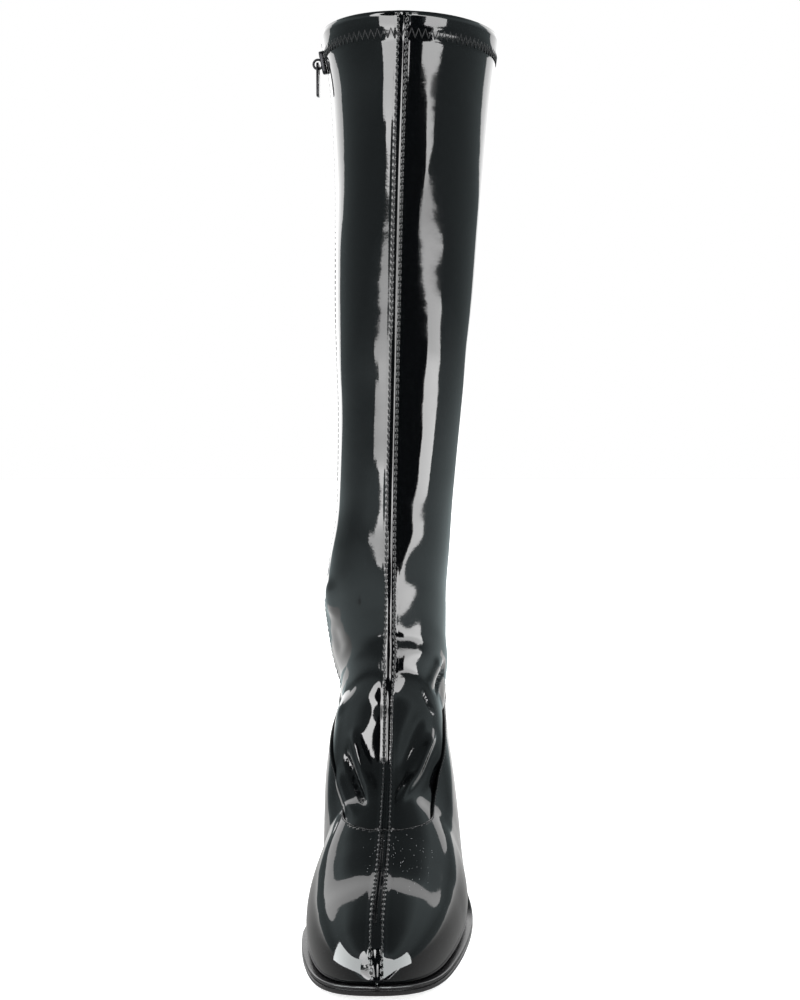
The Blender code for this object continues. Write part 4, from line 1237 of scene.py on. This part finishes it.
def small_capsule(body, length, thickness, place, sides=8):
    """A rounded bar along its own X axis, put in place by a matrix."""
    made = bmesh.ops.create_uvsphere(body, u_segments=sides, v_segments=6, radius=thickness / 2)
    stretch = (length - thickness) / 2
    for vert in made["verts"]:
        x, y, z = vert.co
        vert.co = Vector((z + math.copysign(stretch, z) if abs(z) > TINY else 0.0, y, x))
    bmesh.ops.transform(body, matrix=place, verts=made["verts"])


def axes_matrix(x_axis, z_axis, place):
    """A matrix from an x direction, an outward direction and a place."""
    z_axis = Vector(z_axis).normalized()
    x_axis = Vector(x_axis)
    x_axis = (x_axis - z_axis * x_axis.dot(z_axis)).normalized()
    y_axis = z_axis.cross(x_axis)
    turn = Matrix((x_axis, y_axis, z_axis)).transposed().to_4x4()
    return Matrix.Translation(Vector(place)) @ turn


def make_coil():
    stations = np.linspace(COIL_BOTTOM_STATION, TAPE_TOP_STATION, COIL_STEPS)
    travelled = lengths_along(beside_zip(stations, 0.0, 0.0))
    count = int(travelled[-1] / COIL_PITCH)
    chosen = np.interp(np.arange(count) * COIL_PITCH, travelled, stations)
    body = bmesh.new()
    for i, station in enumerate(chosen):
        side = 1 if i % 2 else -1
        place = beside_zip(station, side * COIL_BAR_ASIDE, -COIL_SINK)
        reach = beside_zip(station, side * COIL_BAR_WAY, -COIL_SINK) - place
        matrix = axes_matrix(reach, skin_normals(station, -ZIP_TURN), place)
        small_capsule(body, COIL_BAR_LENGTH, COIL_BAR_THICK, matrix)
    finish_piece("coil", body, COIL, replaces=("zip_coil",))
    print("bars in the coil:", count)


make_coil()

# %% [markdown]
# ## Slider and pull
# The slider is a cast plate with a bent wire, the bail, on its back, and the pull swings on it.
# The pull is the only part that moves by itself, so it rides on its own body.

# %% Where the slider sits
SLIDER_DROP = 11.5 * MM
SLIDER_LENGTH = 12 * MM
SLIDER_WIDTH = 8 * MM
SLIDER_THICKNESS = 2.6 * MM
SLIDER_BASE = 1.0 * MM
SLIDER_CORNER = 1.6 * MM
SLIDER_RIM = 0.55 * MM
SLIDER_TAPER = 0.72
BAIL_HOLE = 1.8 * MM
BAIL_WIRE = 1.3 * MM
PULL_LENGTH = 18 * MM
PULL_WIDTH = 5.6 * MM
PULL_THICKNESS = 1.4 * MM
PULL_BAR = 1.4 * MM
PULL_WINDOW_LENGTH = 4.6 * MM
PULL_WINDOW_WIDTH = 3.0 * MM
PULL_CORNER = 1.3 * MM
PULL_RIM = 0.3 * MM
SLIDER_CRISP = 45
PULL_CRISP = 40


def slider_place():
    """The slider's middle and directions on the skin as a matrix, and its across direction."""
    station = station_below_collar(SLIDER_DROP, -ZIP_TURN, steps=600)
    out = Vector(skin_normals(station, -ZIP_TURN))
    low, high = skin_points([station - STATION_STEP, station], -ZIP_TURN)
    up = Vector(high - low).normalized()
    across = up.cross(out).normalized()
    up = out.cross(across).normalized()
    turn = Matrix((across, up, out)).transposed().to_4x4()
    return Matrix.Translation(Vector(high)) @ turn, across


SLIDER_AT, SLIDER_ACROSS = slider_place()
HINGE_RISE = SLIDER_BASE + SLIDER_THICKNESS + BAIL_HOLE
HINGE = SLIDER_AT @ Vector((0, 0, HINGE_RISE))
print("pull hinge, mm:", in_mm(HINGE))

# %% Make the slider


def plain_box(body, size):
    """A box about the origin; gives its corners."""
    made = bmesh.ops.create_cube(body, size=1)["verts"]
    bmesh.ops.scale(body, vec=size, verts=made)
    return made


def rounded_box(body, size, corner, rim, taper=1.0):
    """A box with rounded upright corners and softened rims, narrower below by taper."""
    made = plain_box(body, size)
    for vert in made:
        if vert.co.y < 0:
            vert.co.x *= taper
    edges = {edge for vert in made for edge in vert.link_edges}
    upright = [edge for edge in edges
               if abs((edge.verts[0].co - edge.verts[1].co).normalized().z) > 0.9]
    bmesh.ops.bevel(body, geom=upright, offset=corner, segments=5, profile=0.5,
                    affect="EDGES", material=-1)
    half = size[2] / 2 * 0.99
    rims = [edge for edge in body.edges
            if all(abs(vert.co.z) > half for vert in edge.verts)
            and edge.verts[0].co.z * edge.verts[1].co.z > 0]
    bmesh.ops.bevel(body, geom=rims, offset=rim, segments=3, profile=0.5,
                    affect="EDGES", material=-1)


def make_slider():
    body = bmesh.new()
    rounded_box(body, (SLIDER_WIDTH, SLIDER_LENGTH, SLIDER_THICKNESS), SLIDER_CORNER,
                SLIDER_RIM, SLIDER_TAPER)
    bmesh.ops.translate(body, vec=(0, 0, SLIDER_BASE + SLIDER_THICKNESS / 2), verts=body.verts)
    bail = bmesh.new()
    circle = bmesh.ops.create_circle(bail, segments=10, radius=BAIL_WIRE / 2)["verts"]
    bmesh.ops.translate(bail, vec=(0, BAIL_HOLE + BAIL_WIRE / 2, 0), verts=circle)
    bmesh.ops.spin(bail, geom=list(bail.verts) + list(bail.edges), cent=(0, 0, 0),
                   axis=(1, 0, 0), angle=2 * math.pi, steps=32, use_merge=True)
    bmesh.ops.remove_doubles(bail, verts=bail.verts, dist=0.005 * MM)
    bmesh.ops.recalc_face_normals(bail, faces=bail.faces)
    bmesh.ops.translate(bail, vec=(0, 0, HINGE_RISE), verts=bail.verts)
    ring_mesh = bpy.data.meshes.new("bail ring")
    bail.to_mesh(ring_mesh)
    bail.free()
    body.from_mesh(ring_mesh)
    bpy.data.meshes.remove(ring_mesh)
    bmesh.ops.transform(body, matrix=SLIDER_AT, verts=body.verts)
    finish_piece("slider", body, METAL, replaces=("zip_slider",),
                 corners=SLIDER_CRISP)


make_slider()

# %% Make the pull


def make_pull():
    """A flat tab with a window at its hinge end, hanging straight down."""
    body = bmesh.new()
    rounded_box(body, (PULL_WIDTH, PULL_LENGTH, PULL_THICKNESS), PULL_CORNER, PULL_RIM)
    bmesh.ops.translate(body, vec=(0, PULL_BAR / 2 - PULL_LENGTH / 2, 0), verts=body.verts)
    hole = bmesh.new()
    made = plain_box(hole, (PULL_WINDOW_WIDTH, PULL_WINDOW_LENGTH, 3 * PULL_THICKNESS))
    bmesh.ops.translate(hole, vec=(0, -PULL_BAR / 2 - PULL_WINDOW_LENGTH / 2, 0), verts=made)
    level = Vector((SLIDER_ACROSS.x, SLIDER_ACROSS.y, 0)).normalized()
    up = Vector((0, 0, 1))
    turn = Matrix((level, up, level.cross(up))).transposed().to_4x4()
    for part in (body, hole):
        bmesh.ops.transform(part, matrix=Matrix.Translation(HINGE) @ turn, verts=part.verts)
    cutter = new_object("window_cutter", hole)
    cutter.hide_render = True
    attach(cutter, "pull")
    pull = finish_piece("pull_tab", body, METAL, owner="pull",
                        replaces=("zip_pull",), corners=PULL_CRISP)
    window = pull.modifiers.new("window", "BOOLEAN")
    window.operation = "DIFFERENCE"
    window.solver = "EXACT"
    window.object = cutter


make_pull()

# %% [markdown]
# ## Stitches
# Stitching gives the eye its scale. Every stitch is a short thread with rounded ends that dips
# into the patent at both holes. A function walks along a line on the skin, finds evenly spaced
# places and puts a small capsule at each, turned along the line. The same function serves for the
# front seam, the throat and the zip; a loop of its own draws the zigzag of the elastic hem.

# %% A row of stitches
THREAD_THICK = 0.5 * MM
THREAD_OVER = 0.05 * MM
THREAD_SIDES = 6
SEAM_TOP_STATION = TOP_STATION - 0.02


def surface_points(station, turn, relief, over):
    """Points over a piece's outer face, and the outward directions there."""
    bare = skin_points(station, turn)
    normals = skin_normals(station, turn)
    return bare + normals * (relief(station, turn, bare) + over)[..., None], normals


def stitch_row(body, points, normals, length, gap):
    """Evenly spaced stitches along a line of points."""
    travelled = lengths_along(points)
    pitch = length + gap
    count = int(travelled[-1] / pitch)
    for i in range(count):
        middle = (i + 0.5) * pitch
        start, end = (at_length(middle + half, travelled, points)
                      for half in (-length / 2, length / 2))
        matrix = axes_matrix(end - start, at_length(middle, travelled, normals),
                             (start + end) / 2)
        small_capsule(body, length, THREAD_THICK, matrix, sides=THREAD_SIDES)
    return count


# %% Front seam rows
SEAM_STITCH = 2.4 * MM
SEAM_GAP = 0.85 * MM
SEAM_ROW_START = 0.7
SEAM_ROW_NARROWEST = 6 * MM


def station_at_throat(turn, start=3.5, inset=0.0, steps=500):
    """The station where the skin crosses a line the inset below the throat seam, at a turn."""
    fine = np.linspace(start, VAMP_TOP_STATION, steps)
    over = above_throat(skin_points(fine, turn)) + inset
    return float(fine[np.argmax(over > 0)])


def seam_row(body, start, end, relief, side, steps):
    """One row of stitches beside the front seam."""
    stations = np.linspace(start, end, steps)
    half = slice_measures(stations, np.full(steps, float(side)))["half"]
    turn = side * SEAM_ROW_OFFSET / np.maximum(half, SEAM_ROW_NARROWEST)
    points, normals = surface_points(stations, turn, relief, THREAD_OVER)
    return stitch_row(body, points, normals, SEAM_STITCH, SEAM_GAP)


def make_front_stitches():
    body = bmesh.new()
    total = 0
    throat = station_at_throat(0.0)
    for side in (-1, 1):
        total += seam_row(body, throat, SEAM_TOP_STATION, leg_relief, side, steps=900)
        total += seam_row(body, SEAM_ROW_START, throat, vamp_relief, side, steps=300)
    print("front seam stitches:", total)
    finish_piece("front_stitches", body, THREAD)


make_front_stitches()

# %% The throat row
THROAT_STITCH = 1.7 * MM
THROAT_GAP = 0.55 * MM
THROAT_ROW_INSET = 1.3 * MM
THROAT_ROW_STEPS = 361


def make_throat_stitches():
    """A row just below the throat's edge, from the back round the front to the back."""
    turns = np.linspace(-math.pi, math.pi, THROAT_ROW_STEPS)
    stations = np.array([station_at_throat(turn, start=3.0, inset=THROAT_ROW_INSET, steps=700)
                         for turn in turns])
    points, normals = surface_points(stations, turns, vamp_relief, THREAD_OVER)
    body = bmesh.new()
    print("throat stitches:", stitch_row(body, points, normals, THROAT_STITCH, THROAT_GAP))
    finish_piece("throat_stitches", body, THREAD)


make_throat_stitches()

# %% The zigzag round the hem
ZIGZAG_HEIGHT = 4.6 * MM
ZIGZAG_STEP = 1.75 * MM
ZIGZAG_THICK = 0.75 * MM
ZIGZAG_LAP = 0.6
ZIGZAG_OVER = 0.03 * MM
ZIGZAG_STEPS = 1500
ZIGZAG_STATION = HEM_STATION + 0.02
ZIGZAG_START = -ZIP_TURN + 0.14
ZIGZAG_END = ZIGZAG_START + 2 * math.pi - 0.26


def make_hem_zigzag():
    """A zigzag line of thread round the elastic hem, open at the zip."""
    turns = np.linspace(ZIGZAG_START, ZIGZAG_END, ZIGZAG_STEPS)
    turns = np.where(turns > math.pi, turns - 2 * math.pi, turns)
    stations = np.full(turns.shape, ZIGZAG_STATION)
    points, normals = surface_points(stations, turns, leg_relief, ZIGZAG_OVER)
    travelled = lengths_along(points)
    count = int(travelled[-1] / ZIGZAG_STEP)
    corners = []
    for i in range(count + 1):
        point = at_length(i * ZIGZAG_STEP, travelled, points)
        point.z += (ZIGZAG_HEIGHT / 2) * (1 if i % 2 else -1)
        corners.append((point, at_length(i * ZIGZAG_STEP, travelled, normals)))
    body = bmesh.new()
    for (a, normal), (b, _) in zip(corners, corners[1:]):
        length = (b - a).length + ZIGZAG_THICK * ZIGZAG_LAP
        matrix = axes_matrix(b - a, normal, (a + b) / 2)
        small_capsule(body, length, ZIGZAG_THICK, matrix, sides=THREAD_SIDES)
    print("zigzag strokes:", count)
    finish_piece("hem_zigzag", body, THREAD)


make_hem_zigzag()

# %% Rows beside the zip
ZIP_STITCH = 2.2 * MM
ZIP_STITCH_GAP = 0.8 * MM
ZIP_ROW_OFFSET = 5.6 * MM
ZIP_ROW_STEPS = 700


def make_zip_stitches():
    body = bmesh.new()
    total = 0
    stations = np.linspace(ZIP_STATION_BOTTOM, SEAM_TOP_STATION, ZIP_ROW_STEPS)
    for side in (-1, 1):
        turn = -ZIP_TURN - side * ZIP_ROW_OFFSET * turn_per_metre(stations, -ZIP_TURN)
        points, normals = surface_points(stations, turn, leg_relief, THREAD_OVER)
        total += stitch_row(body, points, normals, ZIP_STITCH, ZIP_STITCH_GAP)
    print("zip stitches:", total)
    finish_piece("zip_stitches", body, THREAD)


make_zip_stitches()

# %% [markdown]
# ## The set
# A glossy black object is lit by what it mirrors. Two far softboxes, one each side of the camera,
# are bent cards on a sphere, and their uneven edges become the two bright strips down the leg. A
# black flag between them gives the dark panel, a white wall far behind draws the white rims, two
# small cards light the toe, and a dim room fills the rest. The camera sees none of them, only a
# white backdrop and the floor.

# %% Camera
CAMERA_PLACE = Vector((0.0, -0.770, 0.276))
CAMERA_PITCH_DOWN = math.radians(5)
CAMERA_LENS = 48.85
CAMERA_SENSOR = 36
CAMERA_NEAREST = 10 * MM


def make_camera():
    data = bpy.data.cameras.new("camera")
    data.lens = CAMERA_LENS
    data.sensor_width = CAMERA_SENSOR
    data.clip_start = CAMERA_NEAREST
    camera = bpy.data.objects.new("camera", data)
    camera.location = CAMERA_PLACE
    camera.rotation_euler = (math.pi / 2 - CAMERA_PITCH_DOWN, 0, 0)
    bpy.context.scene.collection.objects.link(camera)
    bpy.context.scene.camera = camera


make_camera()

# %% Lights that can be mirrored
SET_MIDDLE = Vector((0, 0, 0.25))
FAR = 8.0
NEARER = 7.6
ROOM_RADIUS = 9.0
TOE_MIDDLE_Y = -0.17
TOE_CARD_DISTANCE = 0.13
TOE_CARD_TOP = 0.062


def glowing(name, colour, strength):
    """A material that only gives light."""
    material = bpy.data.materials.new(name)
    material.use_nodes = True
    tree = material.node_tree
    tree.nodes.clear()
    glow = add_node(tree, "Emission", {"Color": (*colour, 1), "Strength": strength})
    add_node(tree, "OutputMaterial", {"Surface": glow.outputs[0]})
    return material


def soft_range(tree, value, low, high, start, end):
    """A value that goes softly from start to end while another goes from low to high."""
    inputs = {"Value": value, "From Min": low, "From Max": high, "To Min": start, "To Max": end}
    return add_node(tree, "MapRange", inputs, interpolation_type="SMOOTHSTEP").outputs["Result"]


def level_glow(name, levels, distance, tint=(1, 1, 1)):
    """A light whose strength follows the elevation, for a card or room at a far distance."""
    top = max(strength for _, strength in levels)
    material = glowing(name, (1, 1, 1), top)
    tree = material.node_tree
    height = add_node(tree, "SeparateXYZ", {0: object_place(tree)}).outputs["Z"]
    share = add_node(tree, "MapRange", {"Value": height, "From Min": SET_MIDDLE.z - distance,
                                        "From Max": SET_MIDDLE.z + distance})
    ramp = add_node(tree, "ValToRGB", {"Fac": share.outputs["Result"]})
    stops = ramp.color_ramp.elements
    while len(stops) < len(levels):
        stops.new(0.5)
    for stop, (level, _) in zip(stops, levels):
        stop.position = (1 + math.sin(math.radians(level))) / 2
    for stop, (_, strength) in zip(stops, levels):
        stop.color = (*(part * strength / top for part in tint), 1)
    tree.links.new(ramp.outputs["Color"], tree.nodes["Emission"].inputs["Color"])
    return material


def stage_piece(name, body, material, camera=False, diffuse=True, glossy=True, shadow=False):
    """A piece of the set, and what sees it."""
    thing = new_object(name, body, material)
    thing.visible_camera = camera
    thing.visible_diffuse = diffuse
    thing.visible_glossy = glossy
    thing.visible_shadow = shadow


def make_ball(name, material, radius, rings, middle=(0, 0, 0), **seen):
    """A ball round the whole set."""
    body = bmesh.new()
    bmesh.ops.create_uvsphere(body, u_segments=48, v_segments=rings, radius=radius)
    bmesh.ops.translate(body, vec=middle, verts=body.verts)
    stage_piece(name, body, material, **seen)


def way_to(azimuth, elevation):
    """The direction of an azimuth and an elevation; azimuth 0 is the camera's side."""
    turn, rise = math.radians(azimuth), math.radians(elevation)
    return Vector((math.sin(turn) * math.cos(rise), -math.cos(turn) * math.cos(rise),
                   math.sin(rise)))


def bent_card(name, rows, distance, material):
    """A card bent round the boot like a piece of a sphere, for far lights and dark flags.

    Each row is an elevation and the azimuths of the card's two edges, in degrees.
    """
    levels = [row[0] for row in rows]
    edges = [smooth_curve(levels, [row[i] for row in rows]) for i in (1, 2)]
    body = bmesh.new()
    made = bmesh.ops.create_grid(body, x_segments=14, y_segments=90, size=0.5)["verts"]
    for vert in made:
        level = levels[0] + (levels[-1] - levels[0]) * (vert.co.y + 0.5)
        start, end = float(edges[0](level)), float(edges[1](level))
        vert.co = SET_MIDDLE + way_to(start + (end - start) * (vert.co.x + 0.5), level) * distance
    stage_piece(name, body, material)


def toe_card(name, start, end, material):
    """A small low card round the toe, between two azimuths, that only the patent mirrors."""
    body = bmesh.new()
    made = bmesh.ops.create_grid(body, x_segments=10, y_segments=1, size=0.5)["verts"]
    for vert in made:
        way = way_to(start + (end - start) * (vert.co.x + 0.5), 0) * TOE_CARD_DISTANCE
        vert.co = Vector((way.x, TOE_MIDDLE_Y + way.y, TOE_CARD_TOP * (vert.co.y + 0.5)))
    stage_piece(name, body, material, diffuse=False)


def level_panel(name, centre, size, material, **seen):
    """A level panel under the boot."""
    body = bmesh.new()
    made = bmesh.ops.create_grid(body, x_segments=1, y_segments=1, size=0.5)["verts"]
    bmesh.ops.scale(body, vec=(*size, 1), verts=made)
    bmesh.ops.translate(body, vec=centre, verts=made)
    stage_piece(name, body, material, **seen)


# Each row of a card: elevation, then the azimuth of its left and its right edge
LEFT_SOFTBOX = (
    (-19, -22, -8), (-15, -27, -8), (-11, -37, -8), (-9, -45, -8), (-8.4, -51, -8),
    (-7.8, -41, -8), (-7.2, -54, -6), (-6.5, -57, -2), (-6, -53, -1), (-5, -56, -1),
    (-4.6, -39, -1), (-4, -38, -1), (-3.2, -17, -1), (-2.2, -36, -1), (-1.5, -22, -2),
    (0, -28, -4), (2, -31, -4), (4, -30, -4), (6, -39, -8), (8, -38, -15), (25, -55, -36),
    (45, -60, -42), (57, -60, -39),
)
RIGHT_SOFTBOX = (
    (-20, 20, 38), (-17, 30, 49), (-14.5, 50, 68), (-13, 52, 79), (-11, 55, 86), (-10, 46, 87),
    (-9.3, 54, 88), (-8.5, 60, 88), (-7, 60, 92), (-5, 60, 90), (-4.3, 54, 87), (-3.8, 36, 86),
    (-3, 40, 84), (-2, 45, 81), (-1.2, 44, 50), (0, 39, 49), (1, 42, 52), (2, 44, 54),
    (3.4, 45, 58), (4.2, 42, 46), (5, 38, 55), (6, 31, 62), (9, 34, 62), (20, 22, 46),
    (29, 9, 24), (57, 2, 26), (64, 4, 38),
)
BLACK_FLAG = (
    (-28, -17, 29), (-17, -9, 35), (-13, -9, 53), (-9, -9, 61), (-5, -2, 61), (-3.8, -2, 38),
    (-1, -3, 45), (3, -5, 45), (6, -9, 32), (25, -37, 15), (57, -40, 4), (70, -40, 6),
)
WHITE_WALL = (
    (-10, 172, 196), (-8, 170, 197), (-4, 162, 205), (2, 151, 212), (6, 150, 213),
    (9, 134, 228), (15, 129, 231), (24, 133, 226), (36, 139, 220), (44, 147, 213), (48, 156, 204),
)

# The light of a card at some elevations, in degrees
LEFT_LEVELS = ((-15, 12.0), (-11, 11.5), (-9, 8.6), (-7, 7.4), (-4.5, 6.0), (-2, 7.0), (1, 10.5),
               (4, 11.0), (8, 9.0), (57, 12.0))
RIGHT_LEVELS = ((-19, 9.0), (-13, 9.8), (-9, 10.5), (-6, 7.7), (-3.5, 7.7), (-2.2, 5.5),
                (0, 8.6), (6, 8.5), (60, 12.0))
ROOM_LEVELS = ((-60, 0.80), (-17, 0.85), (-10, 0.66), (-6, 0.42), (-2, 0.25), (5, 0.25),
               (16, 0.48), (32, 0.60), (46, 0.26), (90, 0.14))
ROOM_TINT = (0.82, 0.96, 0.98)
bent_card("left_softbox", LEFT_SOFTBOX, FAR, level_glow("left softbox glow", LEFT_LEVELS, FAR))
bent_card("right_softbox", RIGHT_SOFTBOX, FAR,
          level_glow("right softbox glow", RIGHT_LEVELS, FAR))
bent_card("black_flag", BLACK_FLAG, NEARER, glowing("black flag", (0, 0, 0), 0.0))
bent_card("white_wall", WHITE_WALL, FAR, glowing("white wall", (1, 1, 1), 2.2))
TOE_GLOW = glowing("toe card glow", (0.96, 1.0, 1.0), 9.0)
toe_card("left_toe_card", -100, -38, TOE_GLOW)
toe_card("right_toe_card", 12, 88, TOE_GLOW)
make_ball("room", level_glow("room glow", ROOM_LEVELS, ROOM_RADIUS, ROOM_TINT), ROOM_RADIUS,
          48, SET_MIDDLE)

# %% The white surroundings
BACKDROP_RADIUS = 6
FLOOR_SIZE = 6.0
FLOOR_BELOW = 0.4 * MM
TABLE_FRONT = -0.24
TABLE_BACK = 0.42
TABLE_HALF = 0.42


def floor_glow_with_painted_shade():
    """A pale floor that also glows, more so away from the boot, to photograph as white; the dimmer
    glow near the boot is painted shade.
    """
    material, tree, shader = new_finish("floor white with painted shade", (0.9, 0.9, 0.9), 0.9,
                                        Emission_Color=(1, 1, 1, 1))
    reach = add_node(tree, "VectorMath", {0: object_place(tree)}, operation="LENGTH")
    # Painted shade: the glow drops from 1.0 to 0.62 near the boot, so the floor greys round it on
    # top of the real shadow
    glow = soft_range(tree, reach.outputs["Value"], 0.20, 0.60, 0.62, 1.0)
    tree.links.new(glow, shader.inputs["Emission Strength"])
    return material


def table_glow():
    """What the patent mirrors of the table: white behind the boot, grey beside the toe."""
    material = glowing("table glow", (1.0, 1.0, 0.99), 1.0)
    tree = material.node_tree
    back = add_node(tree, "SeparateXYZ", {0: object_place(tree)}).outputs["Y"]
    tree.links.new(soft_range(tree, back, -0.12, 0.25, 0.35, 1.4),
                   tree.nodes["Emission"].inputs["Strength"])
    return material


# A backdrop all round and a floor for the camera, and a lit table top for the patent to mirror
make_ball("backdrop", glowing("backdrop white", (1, 1, 1), 1.0), BACKDROP_RADIUS, 24,
          camera=True, glossy=False, diffuse=False)
level_panel("floor", (0, 0, -FLOOR_BELOW), (FLOOR_SIZE, FLOOR_SIZE), floor_glow_with_painted_shade(),
            camera=True, glossy=False, shadow=True)
level_panel("table", (0, (TABLE_FRONT + TABLE_BACK) / 2, -FLOOR_BELOW / 2),
            (2 * TABLE_HALF, TABLE_BACK - TABLE_FRONT), table_glow(), diffuse=False)

# %% No light but the set's own
world = bpy.data.worlds.new("studio")
bpy.context.scene.world = world
world.use_nodes = True
world.node_tree.nodes["Background"].inputs["Strength"].default_value = 0.0
bpy.context.scene.view_settings.view_transform = "Standard"
